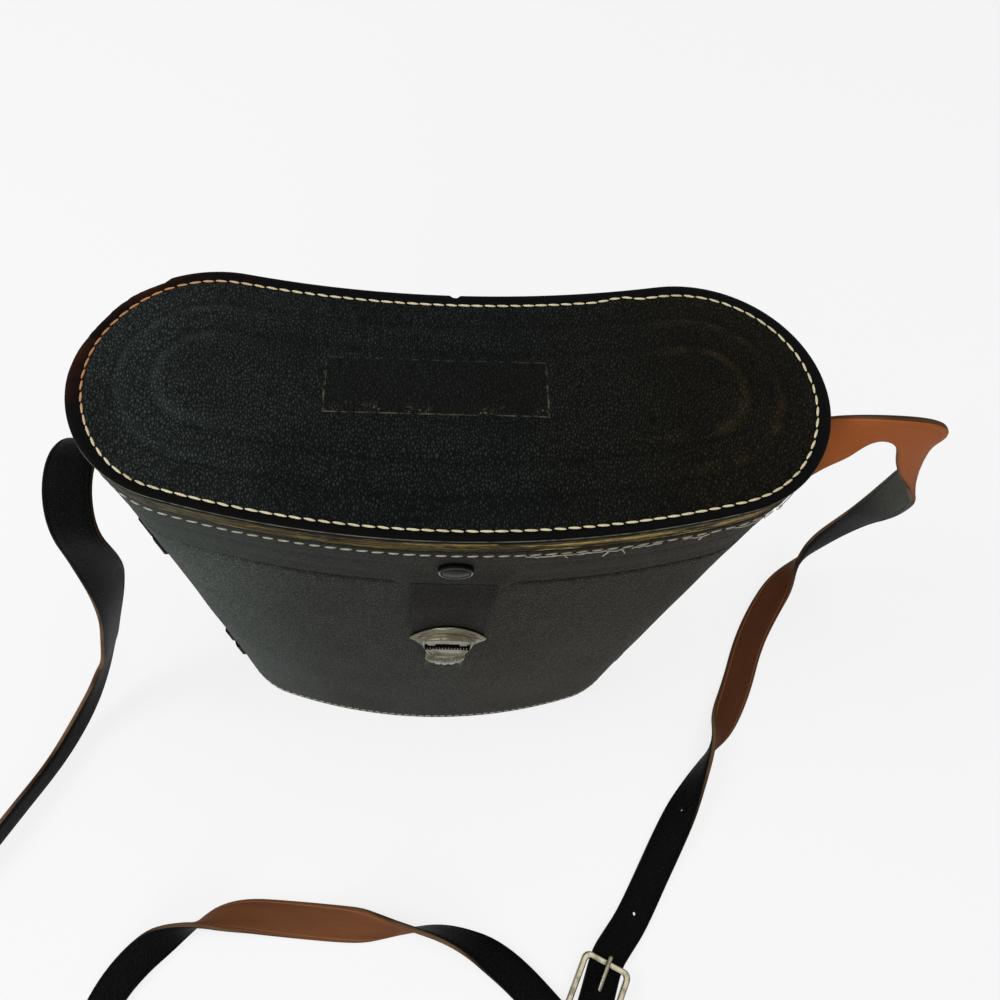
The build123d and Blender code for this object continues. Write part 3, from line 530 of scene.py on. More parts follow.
@dataclass(frozen=True)
class StrapLeather:
    """Strap: fine black grain on one face, smooth tan on the other, with tan cut edges; painted shade darkens
    the tan to the right, and painted light brightens the tan high up and greys the black to the right.
    """

    def make(self) -> Material:
        """Builds the material."""
        f = Finishing("strap_leather")
        across, under, run = f.attribute("across"), f.attribute("under"), f.attribute("run")
        grain = f.pebbles(0.95 * MM, (1.0, 1.0, 1.0), 0.4)
        fine = f.cloud(0.3 * MM, 3.0, 0.6)
        long_hairs = f.cloud(1.0, 3.0, 0.6, f.joined(run * 40.0, across * 1400.0, 0.0))
        patch = f.cloud(1.0, 3.0, 0.5, f.joined(run * 26.0, across * 90.0, 0.0))
        black = f.blended((grain * 0.8 + fine * 0.3 - 0.05).least(1.0), tone(2, 2, 3), tone(23, 23, 23))
        black = f.blended(patch.ramp(0.45, 0.7) * 0.35, black, tone(9, 9, 9))
        tan = f.blended(fine * 0.6 + long_hairs * 0.4, tone(98, 58, 36), tone(134, 86, 56))
        tan = f.blended(patch.ramp(0.42, 0.7) * 0.35, tan, tone(92, 54, 34))
        x, _, z = f.xyz()
        # Painted shade: the tan darker to the right, where the long strap lies in shade.
        right = x.ramp(112 * MM, 138 * MM)
        tan = f.blended(right * 0.62, tan, tone(58, 31, 17))
        # Painted light: the tan turns a brighter orange high up, near the case.
        orange = f.blended(fine, tone(156, 84, 42), tone(186, 106, 58))
        tan = f.blended(z.ramp(120 * MM, 185 * MM), tan, orange)
        # Painted light: the black face greyer to the right and high up, as if lit from above.
        black = f.blended(right * z.ramp(80 * MM, 125 * MM) * 0.7, black, tone(88, 90, 80))
        seat = across.size().near(6.05 * MM, 0.42 * MM)
        tan = f.blended(seat * 0.4, tan, tone(176, 124, 84))
        black = f.blended(seat * 0.5, black, tone(3, 3, 4))
        edge = across.size().ramp(7.15 * MM, 7.4 * MM)
        side = under.ramp(0.35, 0.65)
        colour = f.blended(side, black, tan)
        cut = f.blended(patch.ramp(0.35, 0.65), tone(52, 40, 30), tone(118, 94, 70))
        colour = f.blended(edge * 0.85, colour, cut)
        height = (grain * 0.8 + fine * 0.25) * (1.0 - side) + (long_hairs * 0.5 + fine * 0.4) * side
        rough = 0.44 + side * 0.14 + edge * 0.1 + fine * 0.08
        return f.shade(colour, rough, f.relief(height, 0.17 * MM), specular_ior_level=0.028)


@dataclass(frozen=True)
class PlainBlackLeather:
    """Black leather of the small pieces: loops, hinge, keeper and tab."""
    name: str = "small_leather"
    light: Display = (30, 31, 30)
    cell: float = 0.9 * MM
    # Strength of the painted shade of wrinkles.
    crease_shading: float = 0.1
    bounds: tuple[float, float, float] = (0.0, 0.0, 0.0)

    def make(self) -> Material:
        """Builds the material."""
        f = Finishing(self.name)
        grain = f.pebbles(self.cell, (1.0, 1.0, 0.85), 0.4)
        fine = f.cloud(0.3 * MM, 3.0, 0.6)
        big = f.cloud(12 * MM, 3.0, 0.6)
        colour = f.blended((grain * 0.7 + fine * 0.4).least(1.0), tone(12, 12, 12), tone(*self.light))
        colour = f.blended(big.ramp(0.5, 0.72) * 0.3, colour, tone(20, 19, 17))
        # Painted shade of wrinkles: dark streaks with no relief.
        crease_shade = f.cloud(1.0, 3.0, 0.6, f.stretched((220, 220, 1500)))
        colour = f.blended(crease_shade.ramp(0.5, 0.66) * self.crease_shading, colour, tone(14, 13, 12))
        middle, half, top = self.bounds
        if half:
            x, _, z = f.xyz()
            # Darker along the tab's edges: a dark edge colour lower down, and painted shade towards the top,
            # where the tab goes under the lid's edge. The ramp named worn is that painted shade.
            side = (x - middle).size().ramp(half - 0.7 * MM, half - 0.2 * MM)
            worn = z.ramp(top - 3.2 * MM, top - 1.6 * MM, 0.45, 1.0)
            worn = worn * f.cloud(4 * MM, 2.0).ramp(0.3, 0.6, 0.5, 1.0)
            colour = f.blended(side * worn, colour, tone(8, 7, 6))
        rough = 0.5 + (1.0 - grain) * 0.12 + big * 0.08
        relief = f.relief(grain * 0.7 + fine * 0.3, 0.16 * MM)
        return f.shade(colour, rough, relief, specular_ior_level=0.05)


@dataclass(frozen=True)
class BareMetal:
    """Dulled metal: fine scratches, tarnish in patches and small pits, and painted shade where the mesh marks
    it hollow.
    """
    name: str
    bright: Display
    dull: Display
    rough: float = 0.22
    tarnish: float = 0.5
    painted_shading: bool = False
    # Colour of the painted shade.
    deep: Display = (30, 19, 11)

    def make(self) -> Material:
        """Builds the material."""
        f = Finishing(self.name)
        scratch = f.cloud(1.0, 4.0, 0.7, f.stretched((4200, 2600, 500)))
        patch = f.cloud(4.5 * MM, 3.0, 0.55)
        pits = f.cloud(0.4 * MM, 2.0).ramp(0.7, 0.78)
        stain = patch.ramp(0.46, 0.68) * self.tarnish
        colour = f.blended(stain, tone(*self.bright), tone(*self.dull))
        colour = f.blended(pits * 0.6, colour, tone(52, 44, 34))
        rough = self.rough + stain * 0.28 + scratch.ramp(0.45, 0.7) * 0.12 + pits * 0.2
        metal: Any = 1.0
        # Painted shade from the mesh's hollow numbers: darker, rougher and less metallic there.
        if self.painted_shading:
            hollow = f.attribute("hollow")
            colour = f.blended(hollow, colour, tone(*self.deep))
            rough = rough + hollow * 0.3
            metal = 1.0 - hollow.ramp(0.6, 1.0)
        relief = f.relief(scratch * 0.5 - pits * 0.6, 0.03 * MM)
        return f.shade(colour, rough, relief, metal, specular_ior_level=0.04)


@dataclass(frozen=True)
class Enamel:
    """Glossy black enamel with hairline scratches."""

    def make(self) -> Material:
        """Builds the material."""
        f = Finishing("enamel")
        hair = f.cloud(1.0, 3.0, 0.7, f.stretched((3000, 700, 700))).ramp(0.56, 0.68)
        dust = f.cloud(0.9 * MM, 3.0, 0.6).ramp(0.5, 0.72)
        colour = f.blended(hair * 0.2 + dust * 0.3, tone(22, 22, 20), tone(80, 80, 72))
        rough = 0.24 + dust * 0.25 + hair * 0.1
        return f.shade(colour, rough, f.relief(hair, 0.02 * MM), specular_ior_level=0.05)


@dataclass(frozen=True)
class Fibre:
    """Cloth or board inside the case."""
    name: str
    low: Display
    high: Display
    pitch: float
    depth: float

    def make(self) -> Material:
        """Builds the material."""
        f = Finishing(self.name)
        nap = f.cloud(self.pitch, 4.0, 0.75)
        big = f.cloud(30 * self.pitch, 2.0)
        colour = f.blended(nap.ramp(0.3, 0.7) * 0.8 + big * 0.2, tone(*self.low), tone(*self.high))
        return f.shade(colour, 0.86 - nap * 0.08, f.relief(nap, self.depth), specular_ior_level=0.2)


class Wardrobe:
    """All finishes of the case, each made once."""

    def __init__(self) -> None:
        """Makes the materials."""
        self.top = TopLeather().make()
        # In both wall leathers, far is painted sheen at the left end.
        self.body = BodyLeather(worn_below=6 * MM).make()
        self.skirt = BodyLeather("skirt_leather", cell=0.8 * MM, far=(84, 90, 84), cool=(60, 62, 56),
                                 warm=(62, 56, 46), contrast=0.5).make()
        self.edge = LayeredEdge().make()
        self.cream = Thread("cream_thread", (236, 226, 186), (206, 138, 86)).make()
        self.pale = Thread("pale_thread", (206, 202, 184), (206, 190, 160)).make()
        self.strap = StrapLeather().make()
        self.small = PlainBlackLeather().make()
        # The tab's painted wrinkle shade is strong.
        self.tab = PlainBlackLeather("tab_leather", (47, 44, 39), crease_shading=0.6,
                                     bounds=(2.5 * MM, 13.0 * MM, 194.4 * MM)).make()
        self.nickel = BareMetal("nickel", (134, 130, 112), (78, 71, 54)).make()
        # plated and snap_ring take painted shade from their meshes.
        self.plated = BareMetal("plated", (110, 106, 88), (66, 61, 46), 0.22, 0.6, True, (14, 9, 5)).make()
        self.blackened = BareMetal("blackened", (40, 38, 34), (26, 24, 20), 0.55, 0.6).make()
        # snap_ring: its bright colour shows only where the ring takes a painted highlight.
        self.snap = BareMetal("snap_ring", (176, 174, 160), (120, 116, 100), 0.2, 0.3, True,
                              (10, 10, 10)).make()
        self.dark_metal = BareMetal("dark_metal", (92, 84, 70), (44, 36, 26), 0.4, 0.8).make()
        self.brass = BareMetal("brass", (176, 142, 74), (96, 72, 36), 0.3, 0.7).make()
        self.steel = BareMetal("spring_steel", (150, 152, 154), (84, 78, 72), 0.28, 0.4).make()
        self.enamel = Enamel().make()
        self.felt = Fibre("felt", (74, 18, 20), (116, 34, 36), 0.5 * MM, 0.3 * MM).make()
        self.board = Fibre("board", (62, 52, 40), (98, 84, 64), 0.9 * MM, 0.12 * MM).make()
        self.hole = Fibre("hole_edge", (16, 12, 9), (44, 28, 18), 0.4 * MM, 0.1 * MM).make()


# ------------------------------------------------------------------ outlines and meshes

@dataclass(frozen=True)
class Bean:
    """Outline of two round ends joined by a bulged front and a hollowed back."""
    half_width: float
    end_radius: float
    bulge: float
    dip: float

    def towards(self, other: "Bean", share: float) -> "Bean":
        """Outline part of the way to another.

        Args:
            other: The outline at share 1.
            share: How far to go.

        Returns:
            The outline between them.
        """
        mine, theirs = vars(self), vars(other)
        return Bean(**{key: mine[key] + (theirs[key] - mine[key]) * share for key in mine})

    def walk(self, grow: float, counts: Sequence[int]) -> list[Station]:
        """Places round the outline, anticlockwise from the left end of its front.

        Args:
            grow: How far outside the outline to walk.
            counts: Places on the front, right end, back and left end.

        Returns:
            Each place with the direction straight out of the outline.
        """
        reach = self.half_width - self.end_radius
        r = self.end_radius + grow
        front_r = r + (reach ** 2 + self.bulge ** 2) / (2 * self.bulge)
        front_y = front_r - r - self.bulge
        back_r = (reach ** 2 + self.dip ** 2) / (2 * self.dip) - r
        back_y = r - self.dip + back_r
        a, b = math.atan2(reach, front_y), math.atan2(reach, back_y)
        quarter = math.pi / 2
        found = []
        for k in range(counts[0]):
            t = -a + 2 * a * k / counts[0]
            found.append((Vector((front_r * math.sin(t), front_y - front_r * math.cos(t), 0)),
                          Vector((math.sin(t), -math.cos(t), 0))))
        for k in range(counts[1]):
            t = a - quarter + (2 * quarter + b - a) * k / counts[1]
            out = Vector((math.cos(t), math.sin(t), 0))
            found.append((Vector((reach, 0, 0)) + out * r, out))
        for k in range(counts[2]):
            t = b - 2 * b * k / counts[2]
            found.append((Vector((back_r * math.sin(t), back_y - back_r * math.cos(t), 0)),
                          Vector((-math.sin(t), math.cos(t), 0))))
        for k in range(counts[3]):
            t = quarter - b + (2 * quarter + b - a) * k / counts[3]
            out = Vector((math.cos(t), math.sin(t), 0))
            found.append((Vector((-reach, 0, 0)) + out * r, out))
        return found


@dataclass(frozen=True)
class CaseForm:
    """Outer form of the case, in metres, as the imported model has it."""
    height: float = 230.0 * MM
    parting: float = 192.0 * MM
    gap: float = 0.15 * MM
    ends_y: float = 7.0 * MM
    wall: float = 3.0 * MM
    foot: Bean = Bean(95.5 * MM, 34.6 * MM, 9.4 * MM, 5.7 * MM)
    rim: Bean = Bean(105.2 * MM, 36.1 * MM, 9.3 * MM, 6.4 * MM)
    crown: Bean = Bean(108.0 * MM, 38.9 * MM, 9.3 * MM, 6.4 * MM)
    counts: tuple[int, int, int, int] = (150, 104, 112, 104)

    def outline(self, z: float) -> Bean:
        """Outline of the outer face at height z."""
        if z <= self.parting:
            return self.foot.towards(self.rim, z / self.parting)
        return self.rim.towards(self.crown, (z - self.parting) / (self.height - self.parting))

    def ring(self, z: float, grow: float = 0.0) -> list[Station]:
        """Places round the case at height z.

        Args:
            z: Height.
            grow: How far outside the outer face.

        Returns:
            Each place with the level direction straight out of the case.
        """
        lift = Vector((0, self.ends_y, z))
        return [(at + lift, out) for at, out in self.outline(z).walk(grow, self.counts)]

    def front_y(self, z: float) -> float:
        """Front of the outer face on the middle line at height z."""
        bean = self.outline(z)
        return self.ends_y - bean.end_radius - bean.bulge

    def back_y(self, x: float, z: float) -> float:
        """Back of the outer face at x and height z, between the round ends."""
        bean = self.outline(z)
        reach = bean.half_width - bean.end_radius
        back_r = (reach ** 2 + bean.dip ** 2) / (2 * bean.dip) - bean.end_radius
        return self.ends_y + bean.end_radius - bean.dip + back_r - math.sqrt(back_r ** 2 - x ** 2)


FORM = CaseForm()
MERGED = 0.001 * MM
MERGED_NODE = 0.002 * MM


def runs_of(ring: Sequence[Station]) -> list[float]:
    """Distance of each place of a ring from its first place, along the ring."""
    run, runs = 0.0, []
    for i, (at, _) in enumerate(ring):
        run += (at - ring[i - 1][0]).length if i else 0.0
        runs.append(run)
    return runs


def slack(at: Vector, pitch: float, seed: float = 0.0) -> float:
    """Smooth unevenness from -1 to 1 at a place.

    Args:
        at: The place.
        pitch: Size of its waves.
        seed: Another number gives another pattern.

    Returns:
        The unevenness.
    """
    return noise.noise(at / pitch + Vector((seed, seed * 1.7, 3.1)))


def eased(value: float, low: float, high: float) -> float:
    """Smooth step from 0 at low to 1 at high."""
    share = min(1.0, max(0.0, (value - low) / (high - low)))
    return share * share * (3 - 2 * share)


def ridge(value: float, middle: float, width: float) -> float:
    """Smooth hump of height 1 at middle, gone a few widths away."""
    return math.exp(-((value - middle) / width) ** 2)


class Skin:
    """Points and faces of a piece as it is being made, with numbers kept at its points."""

    def __init__(self) -> None:
        """Starts empty."""
        self.points: list[Vector] = []
        self.faces: list[tuple[int, ...]] = []
        self.slots: list[int] = []
        self.notes: dict[str, list[float]] = {}

    def ring(self, places: Iterable[Vector], **notes: Any) -> list[int]:
        """Adds points in a row.

        Args:
            places: Where they are.
            notes: Numbers kept at them, one for all or one for each.

        Returns:
            Their indices.
        """
        places = list(places)
        first = len(self.points)
        self.points += places
        for key, given in notes.items():
            kept = self.notes.setdefault(key, [0.0] * first)
            kept += list(given) if hasattr(given, "__len__") else [given] * len(places)
        return list(range(first, first + len(places)))

    def bridge(self, first: Sequence[int], second: Sequence[int], closed: bool = True, slot: int = 0) -> None:
        """Joins two rows of equal length with quads.

        Args:
            first: Indices of one row.
            second: Indices of the other.
            closed: Whether the rows close on themselves.
            slot: Material slot of the quads.
        """
        count = len(first)
        for i in range(count if closed else count - 1):
            j = (i + 1) % count
            self.faces.append((first[i], first[j], second[j], second[i]))
            self.slots.append(slot)

    def cap(self, row: Sequence[int], slot: int = 0) -> None:
        """Closes a row with one face.

        Args:
            row: Indices of the row.
            slot: Material slot of the face.
        """
        self.faces.append(tuple(row))
        self.slots.append(slot)

    def loft(self, rows: Sequence[Sequence[int]], closed: bool = True, looped: bool = False) -> None:
        """Joins each row with the next one.

        Args:
            rows: Indices of the rows, in order.
            closed: Whether the rows close on themselves.
            looped: Whether the last row is joined with the first.
        """
        for first, second in zip(rows, list(rows[1:]) + (list(rows[:1]) if looped else [])):
            self.bridge(first, second, closed)

    def tube(self, rows: Sequence[Sequence[int]]) -> None:
        """Joins each row with the next one and closes both ends."""
        self.loft(rows)
        self.cap(rows[0])
        self.cap(rows[-1])

    def piece(self, name: str, materials: Sequence[Material]) -> Piece:
        """Makes the object, with its faces turned outwards.

        Args:
            name: Its name.
            materials: Its materials.

        Returns:
            The object.
        """
        mesh = bpy.data.meshes.new(name)
        mesh.from_pydata([tuple(p) for p in self.points], [], self.faces)
        for key, kept in self.notes.items():
            mesh.attributes.new(key, "FLOAT", "POINT").data.foreach_set("value", kept)
        for index, polygon in enumerate(mesh.polygons):
            polygon.material_index = self.slots[index]
        return finished(name, mesh, materials)


def finished(name: str, mesh: bpy.types.Mesh, materials: Sequence[Material],
             turn: bool = True) -> Piece:
    """Object from a mesh: doubles merged, large faces split, faces turned outwards and shaded smooth.

    Args:
        name: The object's name.
        mesh: Its mesh.
        materials: Its materials.
        turn: Whether faces are turned outwards.

    Returns:
        The object, in the scene.
    """
    work = bmesh.new()
    work.from_mesh(mesh)
    bmesh.ops.remove_doubles(work, verts=work.verts, dist=MERGED)
    if turn:
        bmesh.ops.recalc_face_normals(work, faces=work.faces)
    bmesh.ops.triangulate(work, faces=[face for face in work.faces if len(face.verts) > 4])
    work.to_mesh(mesh)
    work.free()
    mesh.materials.clear()
    for material in materials:
        mesh.materials.append(material)
    mesh.polygons.foreach_set("use_smooth", [True] * len(mesh.polygons))
    return linked(name, mesh)


def settled(made: Piece) -> Piece:
    """Turns an object with modifiers into one with a plain mesh.

    Args:
        made: The object.

    Returns:
        The same object.
    """
    bpy.context.view_layer.update()
    graph = bpy.context.evaluated_depsgraph_get()
    mesh = bpy.data.meshes.new_from_object(made.evaluated_get(graph), depsgraph=graph)
    made.modifiers.clear()
    made.data = mesh
    return made


def place(made: Piece, body: str, slot: Slot, *nodes: str) -> Piece:
    """Hangs a piece on its body and lets it stand for nodes.

    Args:
        made: The piece.
        body: Body that it moves with.
        slot: Not used.
        nodes: Nodes that it replaces.

    Returns:
        The piece.
    """
    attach(made, body)
    if nodes:
        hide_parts(*nodes)
    log.info("%s: %d faces on %s", made.name, len(made.data.polygons), body)
    return made


def softened(frame: dict[str, Any], node: str, name: str, width: float, material: Material,
             moved: Callable[[Vector], Vector] | None = None) -> Piece:
    """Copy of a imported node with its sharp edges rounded.

    Args:
        frame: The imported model.
        node: The node.
        name: The copy's name.
        width: How far the rounding reaches from each edge.
        material: Its material.
        moved: Where each corner goes before the rounding, if the copy's form differs.

    Returns:
        The copy.
    """
    work = bmesh.new()
    work.from_mesh(frame["nodes"][node].data)
    bmesh.ops.remove_doubles(work, verts=work.verts, dist=MERGED_NODE)
    if moved:
        for vertex in work.verts:
            vertex.co = moved(vertex.co)
        bmesh.ops.dissolve_degenerate(work, dist=MERGED_NODE, edges=work.edges)
    bmesh.ops.dissolve_limit(work, angle_limit=math.radians(0.6), verts=work.verts, edges=work.edges)
    mesh = bpy.data.meshes.new(name)
    work.to_mesh(mesh)
    work.free()
    made = finished(name, mesh, [material], turn=False)
    rounding = made.modifiers.new("rounding", "BEVEL")
    rounding.width, rounding.segments, rounding.limit_method = width, 2, "ANGLE"
    rounding.angle_limit = math.radians(32)
    rounding.harden_normals = True
    return settled(made)


# ------------------------------------------------------------------ stitches and other repeated pieces

class Repeater:
    """Geometry Nodes tree that lays a small shape along a line, turned to the surface under it."""

    def __init__(self) -> None:
        """Builds the tree."""
        tree = bpy.data.node_groups.new("laid_along_a_line", "GeometryNodeTree")
        self.tree = tree
        face = tree.interface
        face.new_socket("Line", in_out="INPUT", socket_type="NodeSocketGeometry")
        for name, start in (("Pitch", 0.004), ("Length", 0.003), ("Radius", 0.0004), ("Flatness", 0.8),
                            ("Slant", 0.0), ("Unevenness", 0.1)):
            face.new_socket(name, in_out="INPUT", socket_type="NodeSocketFloat").default_value = start
        face.new_socket("Seed", in_out="INPUT", socket_type="NodeSocketInt").default_value = 1
        face.new_socket("Finish", in_out="INPUT", socket_type="NodeSocketMaterial")
        face.new_socket("Laid", in_out="OUTPUT", socket_type="NodeSocketGeometry")
        self._fill()

    def _node(self, kind: str, settings: Given = None, sockets: Given = None) -> Any:
        """Adds a node to the tree, as add_node does."""
        return add_node(self.tree, kind, settings, sockets)

    def _math(self, operation: str, *terms: Any) -> Any:
        """Result of a Math node on these terms."""
        return self._node("ShaderNodeMath", {"operation": operation}, dict(enumerate(terms))).outputs[0]

    def _fill(self) -> None:
        """Adds the nodes of the tree."""
        given = self._node("NodeGroupInput").outputs
        curve = self._node("GeometryNodeMeshToCurve", None, {0: given["Line"]})
        count = self._node("GeometryNodeCurveLength", None, {0: curve.outputs[0]})
        even = self._math("ROUND", self._math("DIVIDE", count.outputs[0], given["Pitch"]))
        step = self._node("GeometryNodeResampleCurve", None, {"Curve": curve.outputs[0], "Count": even})
        look = self._node("GeometryNodeInputNamedAttribute", {"data_type": "FLOAT_VECTOR"},
                          {"Name": "look"})
        along = self._node("GeometryNodeInputTangent")
        first = self._node("FunctionNodeAlignRotationToVector", {"axis": "Z"}, {"Vector": look.outputs[0]})
        second = self._node("FunctionNodeAlignRotationToVector", {"axis": "X", "pivot_axis": "Z"},
                            {"Rotation": first.outputs[0], "Vector": along.outputs[0]})
        stray = self._node("FunctionNodeRandomValue", {"data_type": "FLOAT"},
                           {2: -1.0, 3: 1.0, "Seed": given["Seed"]})
        swing = self._math("MULTIPLY_ADD", stray.outputs[1], given["Unevenness"], given["Slant"])
        turn = self._node("ShaderNodeCombineXYZ", None, {2: swing})
        spin = self._node("FunctionNodeEulerToRotation", None, {0: turn.outputs[0]})
        posed = self._node("FunctionNodeRotateRotation", {"rotation_space": "LOCAL"},
                           {0: second.outputs[0], 1: spin.outputs[0]})
        ball = self._node("GeometryNodeMeshUVSphere", None, {"Segments": 8, "Rings": 6, "Radius": 1.0})
        tilted = self._node("GeometryNodeTransform", None,
                            {"Geometry": ball.outputs[0], "Rotation": (0.0, math.pi / 2, 0.0)})
        half = self._math("MULTIPLY", given["Length"], 0.5)
        jitter = self._node("FunctionNodeRandomValue", {"data_type": "FLOAT"},
                            {2: 0.9, 3: 1.06, "Seed": given["Seed"]})
        long_ = self._math("MULTIPLY", half, jitter.outputs[1])
        flat = self._math("MULTIPLY", given["Radius"], given["Flatness"])
        size = self._node("ShaderNodeCombineXYZ", None, {0: long_, 1: given["Radius"], 2: flat})
        laid = self._node("GeometryNodeInstanceOnPoints", None,
                          {"Points": step.outputs[0], "Instance": tilted.outputs[0],
                           "Rotation": posed.outputs[0], "Scale": size.outputs[0]})
        real = self._node("GeometryNodeRealizeInstances", None, {0: laid.outputs[0]})
        smooth = self._node("GeometryNodeSetShadeSmooth", None, {0: real.outputs[0]})
        painted = self._node("GeometryNodeSetMaterial", None,
                             {"Geometry": smooth.outputs[0], "Material": given["Finish"]})
        self._node("NodeGroupOutput", None, {0: painted.outputs[0]})

    def lay(self, name: str, line: Sequence[Vector], looks: Sequence[Vector], closed: bool,
            material: Material, **sizes: float) -> Piece:
        """Lays shapes along a line.

        Args:
            name: The piece's name.
            line: Points of the line.
            looks: Way straight out of the surface at each point.
            closed: Whether the line closes on itself.
            material: Finish of the shapes.
            sizes: Inputs of the tree, by name.

        Returns:
            One plain mesh with all the shapes.
        """
        count = len(line)
        mesh = bpy.data.meshes.new(name)
        edges = [(i, (i + 1) % count) for i in range(count if closed else count - 1)]
        mesh.from_pydata([tuple(p) for p in line], edges, [])
        looks_kept = mesh.attributes.new("look", "FLOAT_VECTOR", "POINT")
        looks_kept.data.foreach_set("vector", [c for way in looks for c in way])
        made = linked(name, mesh)
        maker = made.modifiers.new("laid", "NODES")
        maker.node_group = self.tree
        wanted = {key.title(): size for key, size in sizes.items()}
        wanted["Finish"] = material
        for item in self.tree.interface.items_tree:
            if item.item_type == "SOCKET" and item.in_out == "INPUT" and item.name in wanted:
                maker[item.identifier] = wanted[item.name]
        return settled(made)


# ------------------------------------------------------------------ straps

# Grained half of the strap's section, as shares of its half-width and of its half-thickness.
STRAP_FACE = [(-0.985, 0.55), (-0.93, 0.86), (-0.85, 1.0), (-0.807, 0.84), (-0.765, 0.99), (-0.4, 1.0),
              (0.0, 1.0), (0.4, 1.0), (0.765, 0.99), (0.807, 0.84), (0.85, 1.0), (0.93, 0.86), (0.985, 0.55)]


@dataclass(frozen=True)
class Ribbon:
    """Cross-section of the strap: rounded edges and a pressed line near each of them."""
    width: float = 15.0 * MM
    thick: float = 2.5 * MM
    floor: float = 0.05 * MM

    def section(self) -> list[Pair]:
        """Corners of the section, as shares across and through the strap."""
        return [(-1.0, 0.0)] + STRAP_FACE + [(1.0, 0.0)] + [(a, -h) for a, h in reversed(STRAP_FACE)]

    def mesh(self, name: str, stations: Sequence[Station], material: Material,
             tip: float = 0.0, hole: Material | None = None) -> Piece:
        """Strap along a line.

        Args:
            name: The piece's name.
            stations: Places of the centre line, each with the way the grained face looks.
            material: Finish of the strap.
            tip: Length of the rounded point at the far end.
            hole: Finish of the edges of holes that are cut later.

        Returns:
            The strap.
        """
        skin, run = Skin(), 0.0
        total = length_of(stations)
        section, rows = self.section(), []
        under = [0.5 - 0.5 * max(-1.0, min(1.0, h * 2.4)) for _, h in section]
        for i, (at, look) in enumerate(stations):
            before, after = stations[max(0, i - 1)][0], stations[min(len(stations) - 1, i + 1)][0]
            along = (after - before).normalized()
            out = (look - along * look.dot(along)).normalized()
            side = along.cross(out)
            run += (at - before).length
            left = total - run
            narrow = math.sqrt(max(0.04, 1 - (1 - left / tip) ** 2)) if tip and left < tip else 1.0
            row, across = [], []
            for a, h in section:
                point = at + side * (a * narrow * self.width / 2) + out * (h * self.thick / 2)
                point.z = max(point.z, self.floor)
                row.append(point)
                across.append(a * self.width / 2)
            rows.append(skin.ring(row, across=across, run=run, under=under))
        skin.tube(rows)
        return skin.piece(name, [material, hole] if hole else [material])


class Route:
    """Control points of a strap's centre line in millimetres, each with the way its grained face looks."""

    def __init__(self, rows: Sequence[Sequence[float]]) -> None:
        """Keeps the rows: x, y, z and the three parts of the look."""
        self.rows = rows

    def _smoothed(self, controls: Sequence[Point], scale: float) -> list[Vector]:
        """Points of the smooth spline with these control points."""
        curve = bpy.data.curves.new("route", "CURVE")
        curve.dimensions = "3D"
        spline = curve.splines.new("NURBS")
        spline.points.add(len(controls) - 1)
        for point, at in zip(spline.points, controls):
            point.co = (at[0] * scale, at[1] * scale, at[2] * scale, 1.0)
        spline.order_u = 3
        spline.use_endpoint_u = True
        spline.resolution_u = 8
        drawn = linked("route", curve)
        bpy.context.view_layer.update()
        graph = bpy.context.evaluated_depsgraph_get()
        mesh = bpy.data.meshes.new_from_object(drawn.evaluated_get(graph), depsgraph=graph)
        found = [vertex.co.copy() for vertex in mesh.vertices]
        bpy.data.objects.remove(drawn)
        bpy.data.curves.remove(curve)
        bpy.data.meshes.remove(mesh)
        return found

    def stations(self) -> list[Station]:
        """Places of the smooth centre line, each with the way the grained face looks there."""
        places = self._smoothed([tuple(row[:3]) for row in self.rows], MM)
        looks = self._smoothed([tuple(row[3:]) for row in self.rows], 1.0)
        return list(zip(places, looks))


def length_of(stations: Sequence[Station]) -> float:
    """Length of a line through its stations."""
    return sum((b[0] - a[0]).length for a, b in zip(stations, stations[1:]))


